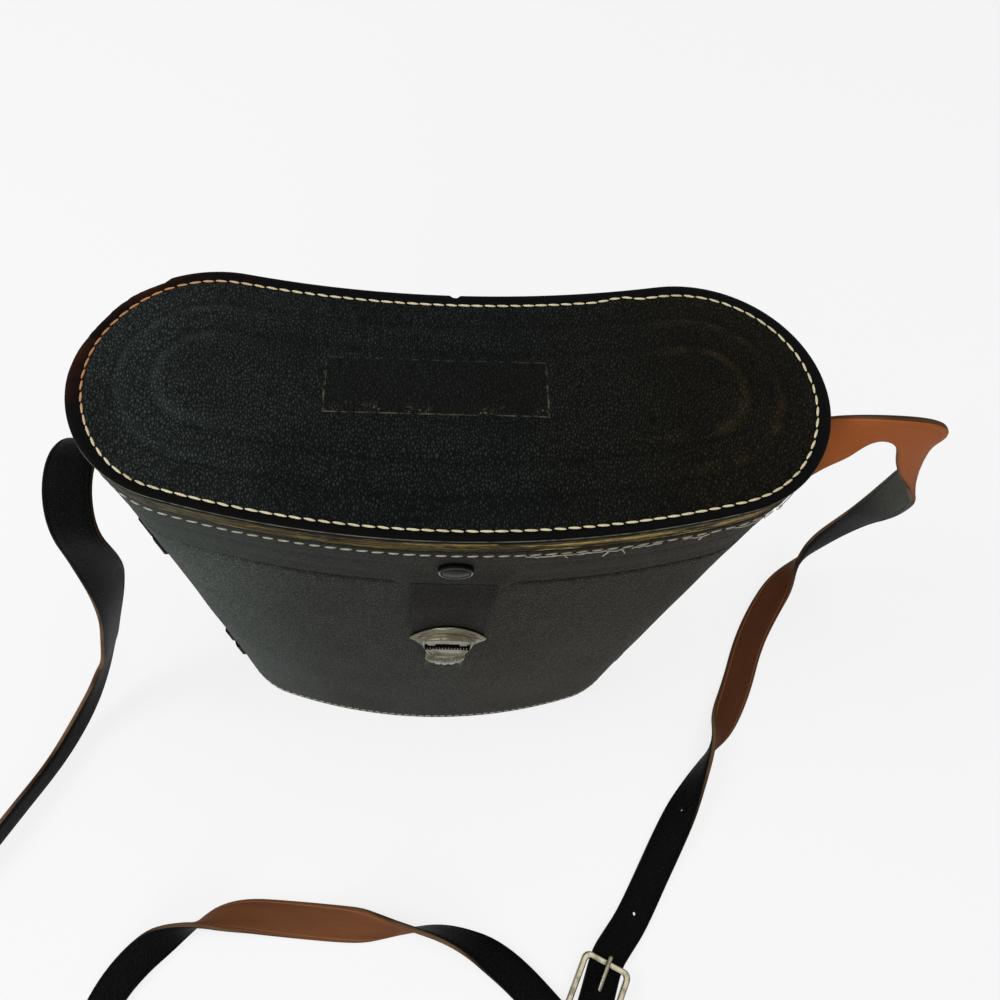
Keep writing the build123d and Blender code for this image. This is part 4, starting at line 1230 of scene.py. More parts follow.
# From the left end wall up, over and down to the floor, then along it in front of the case to the buckle.
SHORT_ROUTE = [
    (-104.72, 7, 154.2, -1, 0, -0.05), (-105.29, 7, 165.5, -1, 0, -0.05),
    (-113.5, 13.2, 177, -0.45, 0.9, 0), (-115.5, 10.7, 188.8, -0.05, 0.8, 0.6),
    (-117, 0.6, 196.1, 0, 0.23, 0.97), (-116.8, -12.3, 194.9, 0, -0.45, 0.89),
    (-116.2, -21.5, 184.8, 0, -0.92, 0.39), (-116.9, -21.1, 163, 0.25, -1, 0),
    (-120, -20, 140, 0.75, -0.65, 0), (-126, -20.5, 114, 0.95, -0.35, 0.05),
    (-135, -21, 86, 0.98, -0.25, 0.06), (-143, -21.2, 61, 0.98, -0.2, 0.08),
    (-151.4, -20.7, 40.3, 0.98, -0.2, 0.08), (-158.5, -27.7, 24.1, 1, -0.2, 0.1),
    (-165.6, -38.7, 13.3, 1, -0.3, 0.1), (-172.7, -52.3, 8, 0.95, -0.4, 0.05),
    (-179.3, -66.3, 7.7, 0.9, -0.42, 0), (-190, -84, 7.9, 0.88, -0.47, 0),
    (-203, -106, 7.9, 0.9, -0.4, 0), (-219.4, -131.7, 7.9, 0.9, -0.4, 0),
    (-236.6, -159.6, 8.45, 1, -0.1, 0.1), (-235.5, -189.7, 7.75, 0.8, 0.4, 0.4),
    (-217.1, -213.3, 5.05, 0.3, 0.3, 1), (-188.2, -220.7, 2.8, 0, 0.1, 1),
    (-160.6, -208.9, 2, 0, 0.1, 1), (-144.6, -183, 1.8, 0, 0.1, 1),
    (-138.1, -158.9, 2.2, 0.05, 0.1, 1), (-123.1, -141, 4.85, 0.1, -0.3, 1),
    (-105.8, -131.7, 8.75, 0.3, -1, 0.2), (-86, -126.8, 6.15, 0.1, -0.6, -1),
    (-62, -128.5, 2.25, 0, -0.1, -1), (-36, -130.5, 3.1, 0, 0.1, -1),
    (-11, -131.7, 8.75, 0.05, 1, -0.2), (12, -134, 7.65, 0.4, 1, 0.6),
    (35, -145.5, 3.15, 0.1, 0.1, 1), (58, -168, 1.5, 0, 0, 1),
    (82, -194, 1.4, 0, 0, 1), (106, -219, 1.4, 0, 0, 1),
    (125.9, -242.5, 1.4, 0, 0, 1), (132.9, -271, 1.4, 0, 0, 1),
    (123.6, -298.8, 1.4, 0, 0, 1), (100.8, -317.1, 1.4, 0, 0, 1),
    (71.6, -319.9, 1.4, 0, 0, 1), (45.6, -306.5, 1.4, 0, 0, 1),
    (30.5, -281.1, 1.4, 0, 0, 1), (30, -253, 1.8, 0, 0, 1),
    (41.9, -225.9, 3.2, 0, 0, 1), (53.7, -198.9, 4.4, 0, 0, 1),
    (67.7, -170.2, 4.4, 0, 0, 1),
]

# From the right end wall to the buckle, with the tip that passes through it.
LONG_ROUTE = [
    (104.72, 7, 154.2, 1, 0, -0.05), (105.4, 7, 168, 1, 0.05, -0.1),
    (110, 5.5, 185, 0.95, 0.2, -0.15), (111.2, 5, 197, 0.9, 0.4, -0.3),
    (113.8, 3.9, 208.8, 0.75, 0.6, -0.3), (122.6, 3.3, 217.2, 0.3, 0.95, 0),
    (134.6, 3.8, 218.5, 0, 0.98, 0.15), (145.8, 5.4, 211.8, -0.1, 1, 0.05),
    (156.9, 12, 189.1, -0.3, 0.8, -0.3), (176, 22, 160, -0.7, 0.5, -0.5),
    (190, 31, 128, -0.9, -0.4, -0.3), (197, 38, 95, -0.5, -0.9, 0),
    (202.5, 46.8, 64.3, -0.1, -1, 0.15), (199.6, 48.4, 41.8, 0.15, -0.95, 0.05),
    (194.2, 44, 24.6, 0.4, -0.8, -0.4), (186.4, 34, 11, 0.3, -0.4, -0.85),
    (177.3, 19.9, 3, 0.1, -0.1, -1), (167.5, 3, 1.4, 0, 0, -1),
    (158.5, -19, 1.6, 0, 0.05, -1), (148, -37, 4.7, -0.3, 0.1, -1),
    (138, -53, 8.6, -1, 0.6, -0.1), (128, -69, 7.7, -0.8, 0.5, 0.5),
    (117.5, -87, 4.4, -0.35, 0.2, 1), (105.9, -107.2, 1.7, 0, 0, 1),
    (93.8, -127.4, 1.7, 0, 0, 1), (86.3, -136.2, 3.3, 0, 0, 1),
    (81.15, -142.24, 4.4, 0, 0, 1), (78.6, -147.9, 4.4, 0, 0, 1),
    (71.6, -162.2, 12.5, 0, 0, 1), (67, -171.5, 12.5, 0, 0, 1),
    (63.5, -178.8, 9.75, 0, 0, 1), (52.82, -200.73, 9.65, 0, 0, 1),
]


# ------------------------------------------------------------------ sub-assemblies

@dataclass
class Lid:
    """Lid: embossed top, layered edge, wall, two seams and what lines it inside."""
    wall_top: float = 220.0 * MM
    top_foot: float = 227.0 * MM
    edge_roll: float = 0.9 * MM
    seam_front: float = 2.9 * MM
    seam_back: float = 4.0 * MM
    seam_left: float = 0.5 * MM
    wall_seam: float = 217.3 * MM
    steps: tuple[Point, ...] = ((12.2 * MM, 15.4 * MM, 0.8 * MM), (23.2 * MM, 26.6 * MM, 0.8 * MM))
    creases: tuple[Point, ...] = ((209.0 * MM, 0.16 * MM, 1.6 * MM), (217.3 * MM, 0.3 * MM, 0.8 * MM),
                                  (199.0 * MM, 0.14 * MM, 2.2 * MM))
    deepest: float = 37.5 * MM
    fine_rows: float = 0.45 * MM
    coarse_rows: float = 0.8 * MM
    fine_to: float = 7 * MM
    over: float = 9.6 * MM
    tucked: float = 0.1 * MM
    notch_middle: float = 2.5 * MM
    notch_half: float = 13.4 * MM
    notch_top: float = 195.2 * MM
    lip_front: float = -39.9 * MM
    patch: tuple[float, float, float, float] = TopLeather.patch

    def seam_inset(self, at: Vector, out: Vector) -> float:
        """How far inside the edge the top seam runs, by which way the edge faces."""
        backward = eased(out.y + 0.35 * abs(out.x), -0.75, 0.1)
        back = self.seam_front + (self.seam_back - self.seam_front) * backward
        doubled = 0.0
        if out.y > 0.5:
            doubled = 0.9 * MM * eased(at.x, 44.5 * MM, 45.5 * MM) * eased(at.x, 56 * MM, 52 * MM)
        return back + self.seam_left * eased(-at.x, 84 * MM, 104 * MM) - doubled

    def retreat(self, at: Vector, out: Vector) -> float:
        """How far the torn skin of the top has drawn back from the edge, at the left end and at a nick."""
        torn = eased(-at.x, 84 * MM, 86.5 * MM) * eased(out.y, -0.1, 0.45)
        rough = 0.75 + 0.35 * slack(at, 6 * MM) + 0.2 * slack(at, 1.6 * MM)
        nick = max(0.0, 1 - abs(at.x - 0.6 * MM) / (1.6 * MM)) if out.y > 0.5 else 0.0
        return torn * rough * 1.1 * MM + nick * 1.3 * MM

    def rise(self, at: Vector, inset: float, seam: float) -> float:
        """Height of the top above the lid's edge, at a distance inside it."""
        lift = sum(high * eased(inset, low, far) for low, far, high in self.steps)
        groove = -0.42 * MM * ridge(inset, seam, 0.75 * MM)
        border = 0.12 * MM * eased(inset, seam - 1.6 * MM, seam - 2.6 * MM)
        x0, x1, y0, y1 = self.patch
        outside = max(abs(at.x - (x0 + x1) / 2) - (x1 - x0) / 2,
                      abs(at.y - (y0 + y1) / 2) - (y1 - y0) / 2)
        pressed = -0.28 * MM * eased(-outside, -0.5 * MM, 0.7 * MM)
        uneven = 0.16 * MM * slack(at, 24 * MM, 4.0) * eased(inset, seam, seam + 12 * MM)
        return lift + groove + border + pressed + uneven - self.tucked

    def top(self, finish: Wardrobe) -> Piece:
        """Embossed leather of the top, down to its cut edge."""
        skin, z = Skin(), FORM.height
        base = FORM.ring(z)
        runs = runs_of(base)
        back = [self.retreat(at, out) for at, out in base]
        rows = []

        def side(height: float, grow: float, layer: float, inset: float) -> None:
            """Adds a row on the outer edge."""
            ring = FORM.ring(height, grow)
            rows.append(skin.ring([at - out * pull * eased(height, self.top_foot, z - 0.8 * MM)
                                   for (at, out), pull in zip(ring, back)],
                                  inset=inset, deep=inset, run=runs, layer=layer))

        foot = self.top_foot
        side(foot, -9 * MM, 6.9 * MM, 0.0)
        side(foot, -0.35 * MM, 6.95 * MM, 0.0)
        side(foot + 0.25 * MM, -0.1 * MM, 7.3 * MM, 0.0)
        for k in range(1, 6):
            side(foot + (0.25 + 0.36 * k) * MM, -0.1 * MM - 0.14 * MM * (k % 2), (7.3 + 0.4 * k) * MM, 0.0)
        edge_rows = len(rows)
        for k in range(5):
            t = math.pi / 2 * k / 4
            inset = self.edge_roll * (1 - math.cos(t))
            ring = FORM.ring(z, -inset)
            drop = Vector((0, 0, -self.edge_roll * (1 - math.sin(t)) - self.tucked))
            rows.append(skin.ring([at - out * pull + drop for (at, out), pull in zip(ring, back)],
                                  inset=inset, deep=inset, run=runs, layer=self.over))
        inset = self.edge_roll
        while inset < self.deepest:
            inset += self.fine_rows if inset < self.fine_to else self.coarse_rows
            ring = FORM.ring(z, -inset)
            places = []
            for (at, out), pull in zip(ring, back):
                seam = self.seam_inset(at, out)
                pulled = at - out * pull * eased(inset, 3 * MM, 1.2 * MM)
                places.append(pulled + Vector((0, 0, self.rise(at, inset, seam))))
            scale = [self.seam_inset(at, out) / self.seam_front for at, out in ring]
            rows.append(skin.ring(places, inset=[inset / s for s in scale], deep=inset, run=runs,
                                  layer=self.over))
        for index, (first, second) in enumerate(zip(rows, rows[1:])):
            skin.bridge(first, second, slot=1 if index < edge_rows - 1 else 0)
        skin.cap(rows[0], 1)
        skin.cap(rows[-1])
        return place(skin.piece("lid_top_leather", [finish.top, finish.edge]), "lid", Slot.TOP, "lid_top")

    def band(self, finish: Wardrobe) -> Piece:
        """Layers sewn between the wall and the top."""
        skin, rows = Skin(), []
        low, high = self.wall_top + 0.1 * MM, self.top_foot - 0.1 * MM
        count = 15
        for k in range(count + 1):
            z = low + (high - low) * k / count
            layer = z - self.wall_top
            ring = FORM.ring(z, -0.5 * MM)
            places, runs = [], runs_of(ring)
            for (at, out), run in zip(ring, runs):
                ridge = 0.32 * MM * abs(math.sin(layer / (2.3 * MM) * math.pi + 0.4))
                frayed = 0.22 * MM * slack(Vector((run, layer * 4, 0)), 3 * MM)
                places.append(at + out * (ridge + frayed - 0.15 * MM))
            rows.append(skin.ring(places, layer=layer, run=runs))
        for z in (high, low):
            rows.append(skin.ring([at for at, _ in FORM.ring(z, -8.0 * MM)], layer=0.0, run=0.0))
        skin.loft(rows, looped=True)
        return place(skin.piece("lid_layered_edge", [finish.edge]), "lid", Slot.TAN, "lid_welt")

    def wall_profile(self, z: float) -> float:
        """How far the wall stands in from the plain form at height z, by its creases and rounded ends."""
        low, high = FORM.parting + FORM.gap, self.wall_top
        crease = sum(deep * ridge(z, at, wide) for at, deep, wide in self.creases)
        ends = 0.55 * MM * (eased(z, low + 0.8 * MM, low) + eased(z, high - 0.8 * MM, high))
        return crease + ends

    def wall(self, finish: Wardrobe) -> Piece:
        """Wall of the lid, notched where the tab comes out under its edge."""
        skin, rows = Skin(), []
        low, high = FORM.parting + FORM.gap, self.wall_top
        levels = [low + (high - low) * k / 56 for k in range(57)]

        def row(z: float, grow: float, uneven: float) -> None:
            """Adds a row at a height, raised over the notch."""
            places = []
            for at, out in FORM.ring(z, grow):
                inside = at.y < 0 and abs(at.x - self.notch_middle) < self.notch_half
                if inside and z < self.notch_top:
                    at = Vector((at.x, at.y, self.notch_top))
                if at.y < -30 * MM and grow > -1 * MM:
                    near = eased(abs(at.x - self.notch_middle), 20 * MM, 12 * MM)
                    near *= eased(z, 206 * MM, 196 * MM)
                    at = Vector((at.x, min(at.y, at.y + near * (self.lip_front - at.y)), at.z))
                places.append(at - out * uneven * (0.5 + 0.5 * slack(at, 22 * MM, 7.0)) * 0.35 * MM)
            rows.append(skin.ring(places))

        for z in levels:
            row(z, -self.wall_profile(z), eased(z, low, low + 6 * MM) * eased(z, high, high - 4 * MM))
        for z in (high, (low + high) / 2, low):
            row(z, -FORM.wall, 0.0)
        skin.loft(rows, looped=True)
        return place(skin.piece("lid_wall_leather", [finish.skirt]), "lid", Slot.BODY, "lid_skirt")

    def seams(self, finish: Wardrobe, repeater: Repeater) -> None:
        """The seam round the top and the one round the wall."""
        ring = FORM.ring(FORM.height)
        line, looks = [], []
        for at, out in ring:
            inset = self.seam_inset(at, out)
            spot = at - out * inset
            line.append(spot + Vector((0, 0, self.rise(spot, inset, inset) + 0.26 * MM)))
            looks.append(Vector((0, 0, 1)))
        stitches = repeater.lay("seam_top", line, looks, True, finish.cream, pitch=3.85 * MM, length=3.6 * MM,
                                radius=0.37 * MM, flatness=0.8, slant=-0.07, unevenness=0.04, seed=3)
        place(stitches, "lid", Slot.TAN)
        line, looks = [], []
        for at, out in FORM.ring(self.wall_seam, -self.wall_profile(self.wall_seam)):
            line.append(at + out * 0.16 * MM + Vector((0, 0, 0.12 * MM * slack(at, 14 * MM, 2.0))))
            looks.append(out)
        stitches = repeater.lay("seam_wall", line, looks, True, finish.pale, pitch=4.3 * MM, length=3.4 * MM,
                                radius=0.36 * MM, flatness=0.75, slant=0.13, unevenness=0.07, seed=8)
        place(stitches, "lid", Slot.TAN)

    def frays(self, finish: Wardrobe) -> None:
        """Thread that has worked loose from the wall seam, on the right of the front."""
        chance = random.Random(11)
        ring = [(at, out) for at, out in FORM.ring(self.wall_seam, 0.1 * MM)
                if out.y < 0.2 and at.x > 15 * MM]
        skin = Skin()

        def strand(places: Sequence[Vector], radius: float) -> None:
            """Adds a thin tube through the places."""
            rows = []
            for i, at in enumerate(places):
                along = (places[min(i + 1, len(places) - 1)] - places[max(i - 1, 0)]).normalized()
                side = along.cross(Vector((0.2, -0.9, 0.4))).normalized()
                up = side.cross(along)
                rows.append(skin.ring([at + (side * math.cos(a) + up * math.sin(a)) * radius
                                       for a in (k * math.pi / 3 for k in range(6))]))
            skin.tube(rows)

        for start in range(4, len(ring) - 12, 7):
            if chance.random() < 0.2:
                continue
            count = chance.randint(6, 11)
            lift = chance.uniform(0.05, 0.3) * MM
            places = [at + out * (0.25 * MM + lift * math.sin(math.pi * k / (count - 1)))
                      + Vector((0, 0, chance.uniform(-0.45, 0.55) * MM))
                      for k, (at, out) in enumerate(ring[start:start + count])]
            strand(places, 0.14 * MM)
        ends = ((44.0 * MM, (-1.6, -2.4)), (46.5 * MM, (1.4, -2.2)), (92.0 * MM, (0.6, 2.6)),
                (88.5 * MM, (-1.2, 1.6)), (31.0 * MM, (1.0, -1.2)), (70.0 * MM, (-0.8, -1.3)))
        for x, (across, drop) in ends:
            at, out = min(ring, key=lambda pair: abs(pair[0].x - x))
            tangent = Vector((-out.y, out.x, 0))
            places = [at + out * (0.3 + 0.9 * t * (1.4 - t)) * MM + tangent * across * t * MM
                      + Vector((0, 0, drop * t * t * MM)) for t in (0, 0.25, 0.5, 0.75, 1.0)]
            strand(places, 0.16 * MM)
        place(skin.piece("loose_thread", [finish.pale]), "lid", Slot.TAN)

    def build(self, frame: dict[str, Any], finish: Wardrobe, repeater: Repeater) -> None:
        """Makes all of the lid."""
        self.top(finish)
        self.band(finish)
        self.wall(finish)
        self.seams(finish, repeater)
        self.frays(finish)
        paint(frame, finish.board, "lid_board")
        paint(frame, finish.felt, "lid_lining")


def paint(frame: dict[str, Any], material: Material, *nodes: str) -> None:
    """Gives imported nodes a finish.

    Args:
        frame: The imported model.
        material: The finish.
        nodes: The nodes.
    """
    for node in nodes:
        mesh = frame["nodes"][node].data
        mesh.materials.clear()
        mesh.materials.append(material)
        log.info("%s: finished in %s", node, material.name)


@dataclass
class Body:
    """Body of the case: leather wall, base seam and what is inside."""
    edge: float = 0.5 * MM
    seam: float = 3.2 * MM
    seam_groove: float = 0.25 * MM
    sag: float = 0.55 * MM
    row_height: float = 3.0 * MM

    def wall(self, finish: Wardrobe) -> Piece:
        """Leather wall, open at the top."""
        skin, rows = Skin(), []
        top = FORM.parting - FORM.gap
        levels = [0.0, 0.2 * MM, 0.55 * MM] + [k * self.row_height for k in range(1, 64)]
        levels += [top - 0.6 * MM, top - 0.2 * MM, top]
        for z in levels:
            ends = self.edge * (eased(z, self.edge, 0) + eased(z, top - self.edge, top))
            groove = self.seam_groove * ridge(z, self.seam, 0.9 * MM)
            calm = eased(z, 8 * MM, 30 * MM) * eased(z, top - 3 * MM, top - 24 * MM)
            places = [at - out * (ends + groove + calm * (0.5 + 0.5 * slack(at, 34 * MM, 1.0)) * self.sag)
                      for at, out in FORM.ring(z)]
            rows.append(skin.ring(places))
        for z in (top, top - 1 * MM, top / 2, 1 * MM, 0.0):
            rows.append(skin.ring([at for at, _ in FORM.ring(z, -FORM.wall)]))
        skin.loft(rows, looped=True)
        return place(skin.piece("body_wall_leather", [finish.body]), "case", Slot.BODY, "body_shell")

    def build(self, frame: dict[str, Any], finish: Wardrobe, repeater: Repeater) -> None:
        """Makes all of the body."""
        self.wall(finish)
        ring = FORM.ring(self.seam, -self.seam_groove)
        line, looks = [at + out * 0.14 * MM for at, out in ring], [out for _, out in ring]
        stitches = repeater.lay("seam_base", line, looks, True, finish.pale, pitch=3.6 * MM, length=3.0 * MM,
                                radius=0.38 * MM, flatness=0.8, slant=0.06, unevenness=0.06, seed=5)
        place(stitches, "case", Slot.TAN)
        paint(frame, finish.board, "base_panel", "inner_liner")
        paint(frame, finish.felt, "bottom_pad", "body_lining")


@dataclass
class BackHinge:
    """Leather hinge: one soft strip sewn to the back of the body and of the lid, pared thin at its fold."""
    half: float = 45.0 * MM
    low: float = 162.0 * MM
    high: float = 219.0 * MM
    seat: float = 0.2 * MM
    thick: float = 2.2 * MM
    axis_y: float = 43.65 * MM
    fold: float = 8.4 * MM
    pared: float = 0.6
    rounding: float = 0.6 * MM
    rounding_reach: float = 0.9 * MM
    uneven: float = 0.12 * MM

    def face(self, x: float, z: float) -> float:
        """Outer face of the strip."""
        plain = FORM.back_y(x, z) + self.seat + self.thick
        bulge = eased(abs(z - FORM.parting), self.fold, 1.4 * MM)
        return plain + max(0.0, self.axis_y - plain) * bulge

    def strip(self, finish: Wardrobe) -> Piece:
        """The strip, which bulges out round the hinge line."""
        skin, rows = Skin(), []
        heights = [self.low + (self.high - self.low) * k / 64 for k in range(65)]
        across = [-self.half + 2 * self.half * k / 60 for k in range(61)]
        outer, inner = [], []
        for z in heights:
            end = self.rounding * (eased(z, self.low + self.rounding_reach, self.low)
                                   + eased(z, self.high - self.rounding_reach, self.high))
            line = []
            for x in across:
                side = self.rounding * eased(abs(x), self.half - self.rounding_reach, self.half)
                hollow = self.uneven * (1 + slack(Vector((x, 0, z)), 9 * MM))
                line.append(Vector((x, self.face(x, z) - end - side - hollow, z)))
            outer.append(line)
            thick = self.thick * (1 - self.pared * eased(abs(z - FORM.parting), 6.0 * MM, 3.2 * MM))
            inner.append([Vector((x, self.face(x, z) - thick, z)) for x in across])
        for up in (outer, inner):
            rows.append([skin.ring(line) for line in up])
        skin.loft(rows[0], closed=False)
        for first, second in zip(rows[1], rows[1][1:]):
            skin.bridge(second, first, closed=False)
        for k in (0, -1):
            skin.bridge(rows[0][k], rows[1][k], closed=False)
            skin.bridge([r[k] for r in rows[0]], [r[k] for r in rows[1]], closed=False)
        made = skin.piece("hinge_leather", [finish.small])
        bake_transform(made)
        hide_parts("hinge_leaf_case", "hinge_leaf_lid")
        log.info("%s: %d faces from case to lid", made.name, len(made.data.polygons))
        return made

    def seam(self, name: str, body: str, z_far: float, z_near: float, finish: Wardrobe,
             repeater: Repeater) -> None:
        """Stitches along three sides of one leaf."""
        inset = 4.0 * MM
        half = self.half - inset
        corners = [(-half, z_near), (-half, z_far), (half, z_far), (half, z_near)]
        line = []
        for (x0, z0), (x1, z1) in zip(corners, corners[1:]):
            steps = max(2, int(math.hypot(x1 - x0, z1 - z0) / (1.5 * MM)))
            line += [(x0 + (x1 - x0) * k / steps, z0 + (z1 - z0) * k / steps) for k in range(steps)]
        line.append(corners[-1])
        places = [Vector((x, self.face(x, z) + 0.02 * MM, z)) for x, z in line]
        looks = [Vector((0, 1, 0))] * len(places)
        stitches = repeater.lay(name, places, looks, False, finish.pale, pitch=3.9 * MM, length=3.1 * MM,
                                radius=0.32 * MM, flatness=0.7, slant=0.05, unevenness=0.06, seed=6)
        place(stitches, body, Slot.TAN)

    def build(self, finish: Wardrobe, repeater: Repeater) -> None:
        """Makes the strip and its seams."""
        self.strip(finish)
        self.seam("hinge_seam_case", "case", self.low + 4 * MM, 182 * MM, finish, repeater)
        self.seam("hinge_seam_lid", "lid", self.high - 4 * MM, 203 * MM, finish, repeater)


# Section of the tab: shares of its half-width across it, and of its thickness from its front.
TAB_SECTION = [(-1.0, 0.5), (-0.985, 0.16), (-0.95, 0.02), (-0.9, 0.0), (-0.88, 0.05), (-0.86, 0.0),
               (-0.45, 0.0), (0.0, 0.0), (0.45, 0.0), (0.86, 0.0), (0.88, 0.05), (0.9, 0.0), (0.95, 0.02),
               (0.985, 0.16), (1.0, 0.5), (0.98, 0.9), (0.9, 1.0), (0.0, 1.0), (-0.9, 1.0), (-0.98, 0.9)]

# Turned outlines of the snap, as radius and height over the lid's wall in millimetres.
SNAP_RING = [(0.0, -3.0), (2.0, -3.0), (2.0, 0.0), (5.1, 0.0), (5.12, 0.9), (5.02, 1.25), (4.86, 1.5),
             (4.7, 1.62), (4.52, 1.66), (4.34, 1.58), (4.2, 1.36), (4.1, 1.1), (0.0, 1.1)]
SNAP_CAP = [(0.0, 1.15), (4.15, 1.15), (4.14, 1.4), (3.9, 1.56), (3.3, 1.74), (2.5, 1.9), (1.5, 2.02),
            (0.6, 2.07), (0.0, 2.08)]


@dataclass
class Latch:
    """Leather tab with its snap and metal plate, and the lock that it closes on.

    Outlines given as rows of numbers, the slot and the plate's heights are in millimetres.
    """
    middle: float = 2.5 * MM
    tab_half: float = 13.0 * MM
    tab_top: float = 194.4 * MM
    tab_foot: float = 148.0 * MM
    tab_back: float = -38.7 * MM
    tab_thin: float = 0.7 * MM
    tab_thick: float = 2.2 * MM
    plate_back: float = -40.92 * MM
    plate_top: float = 159.0 * MM
    plate_foot: float = 131.9 * MM
    tip_height: float = 148.5 * MM
    sides: tuple[Pair, ...] = ((148.5, 13.3), (147.2, 13.1), (144.5, 11.2), (140.0, 9.0), (136.0, 7.9),
                               (133.0, 7.1), (131.9, 6.3))
    panel_sides: tuple[Pair, ...] = ((154.0, 9.8), (151.0, 9.6), (145.0, 9.3), (140.4, 8.6), (136.0, 7.4),
                                     (133.0, 6.4), (131.9, 5.4))
    slot: Point = (7.7, 140.6, 146.6)
    slot_deep: float = 2.35
    flange: float = 0.75
    panel: float = 1.3
    button_front: float = -41.3 * MM
    button_head: float = 127.5 * MM
    button_half: float = 7.1 * MM
    button_line: tuple[Pair, ...] = ((-41.3, 131.2), (-42.1, 130.6), (-42.9, 129.2), (-43.5, 127.2),
                                     (-43.85, 124.8), (-43.8, 122.2), (-43.3, 120.4), (-42.3, 119.6),
                                     (-41.3, 119.4))
    flutes: int = 5
    slider_foot: float = 118.2 * MM
    slider_lift: float = 0.12 * MM
    snap_sides: int = 56
    snap_at: tuple[float, float] = (2.0 * MM, 206.5 * MM)

    def tab(self, finish: Wardrobe) -> Piece:
        """Soft tab with rounded edges, thinned towards its root."""
        skin, rows, count = Skin(), [], 40
        for k in range(count + 1):
            z = self.tab_foot + (self.tab_top - self.tab_foot) * k / count
            thick = self.tab_thin + (self.tab_thick - self.tab_thin) * eased(z, 194 * MM, 174 * MM)
            places = []
            for a, depth in TAB_SECTION:
                x = self.middle + a * (self.tab_half - 0.15 * MM * (1 + slack(Vector((a, 0, z)), 9 * MM)))
                cup = 0.1 * MM * (1 + slack(Vector((x, 3.0, z)), 11 * MM)) if depth < 0.5 else 0.0
                places.append(Vector((x, self.tab_back - thick * (1 - depth) + cup, z)))
            rows.append(skin.ring(places))
        skin.tube(rows)
        return place(skin.piece("tab_leather", [finish.tab]), "hasp", Slot.BODY, "hasp_tab")

    @staticmethod
    def reach(sides: Sequence[Pair], z: float) -> float:
        """Half-width at height z of a form given by height and half-width, in millimetres."""
        if z >= sides[0][0]:
            return sides[0][1]
        for (high, wide), (low, narrow) in zip(sides, sides[1:]):
            if z >= low:
                return narrow + (wide - narrow) * (z - low) / (high - low)
        return sides[-1][1]

    def plate_rise(self, x: float, z: float, rim: float) -> tuple[float, float]:
        """Front of the plate over its back, and how much painted shade it takes there.

        Args:
            x: Distance from the middle, in millimetres.
            z: Height, in millimetres.
            rim: Distance from the plate's edge, in millimetres.

        Returns:
            The rise in millimetres, and the share of painted shade, from 0 to 1.
        """
        crown = 154.0 - 3.0 * (x / 9.6) ** 2
        panel = min(crown - z, self.reach(self.panel_sides, z) - abs(x), z - 131.9 - 0.05 * x * x)
        arch = 158.9 - 10.4 * (x / 13.3) ** 2 - z
        rise = self.flange + 0.45 * eased(rim, 0.0, 0.5)
        rise += 0.4 * ridge(arch, 2.7, 0.6) * eased(rim, 0.5, 1.6)
        rise += self.panel * eased(panel, -0.2, 0.8)
        rise += 0.34 * ridge(panel, 1.0, 0.42) + 0.25 * ridge(panel, 2.5, 0.4)
        wide, low, high = self.slot
        pocket = eased(min(wide - abs(x), z - low, high - z), -0.12, 0.22)
        # Painted shade in the grooves at the foot of the panel, inside it and along the arch, and in the
        # slot.
        groove = (0.55 * ridge(panel, -0.35, 0.4) + 0.5 * ridge(panel, 1.75, 0.28)
                  + 0.35 * ridge(arch, 3.9, 0.5) * eased(rim, 0.8, 1.8))
        shade = eased(min(wide + 0.1 - abs(x), z - low + 0.16, high - z), -0.3, 0.0)
        return rise - self.slot_deep * pocket, max(shade, min(0.8, groove))

    def plate(self, finish: Wardrobe) -> Piece:
        """Metal plate: a flange like a low arch, and a raised panel with a rim, a slot and a round foot."""
        skin, rows, count = Skin(), [], 120
        across = [-1 + k / 60 for k in range(121)]
        tall = (self.plate_top - self.plate_foot) / MM
        for k in range(count + 1):
            v = k / count
            middle = self.plate_top / MM + (self.plate_foot - self.plate_top) / MM * v
            side = self.tip_height / MM + (self.plate_foot - self.tip_height) / MM * v
            half = self.reach(self.sides, side)
            places, painted_shading = [], []
            for u in across:
                x, z = u * half, middle + (side - middle) * u * u
                rim = min((1 - abs(u)) * half, v * tall, (1 - v) * tall)
                # hollow: painted shade of the slot and the grooves.
                rise, hollow = self.plate_rise(x, z, rim)
                places.append(Vector((self.middle + x * MM, self.plate_back - rise * MM, z * MM)))
                painted_shading.append(hollow)
            backs = [Vector((p.x, self.plate_back, p.z)) for p in places]
            rows.append(skin.ring(places + backs[::-1], hollow=painted_shading + [0.0] * len(backs)))
        skin.loft(rows)
        for row in (rows[0], rows[-1]):
            half_ring = len(row) // 2
            skin.bridge(row[:half_ring], row[half_ring:][::-1], closed=False)
        return place(skin.piece("latch_plate", [finish.plated]), "hasp", Slot.NICKEL, "hasp_plate")

    def teeth(self, finish: Wardrobe, repeater: Repeater) -> Piece:
        """Small teeth along the lower edge of the plate's slot."""
        wide, low, _ = self.slot
        front, height = self.plate_back - 2.1 * MM, (low + 0.3) * MM
        line = [Vector((self.middle + wide * MM * 0.9 * (-1 + k / 10), front, height)) for k in range(21)]
        made = repeater.lay("slot_teeth", line, [Vector((0, -1, 0))] * len(line), False, finish.nickel,
                            pitch=1.0 * MM, length=0.5 * MM, radius=0.34 * MM, flatness=1.4, slant=0.0,
                            unevenness=0.0, seed=1)
        return place(made, "hasp", Slot.NICKEL)

    def without_drum(self, at: Vector) -> Vector:
        """Where a corner of the slider goes: its foot up a little, its button back behind the fluted one."""
        if at.z < self.slider_foot:
            return at + Vector((0, 0, self.slider_lift))
        if at.y < self.button_front and at.z < self.button_head:
            return Vector((at.x, self.button_front, at.z))
        return at

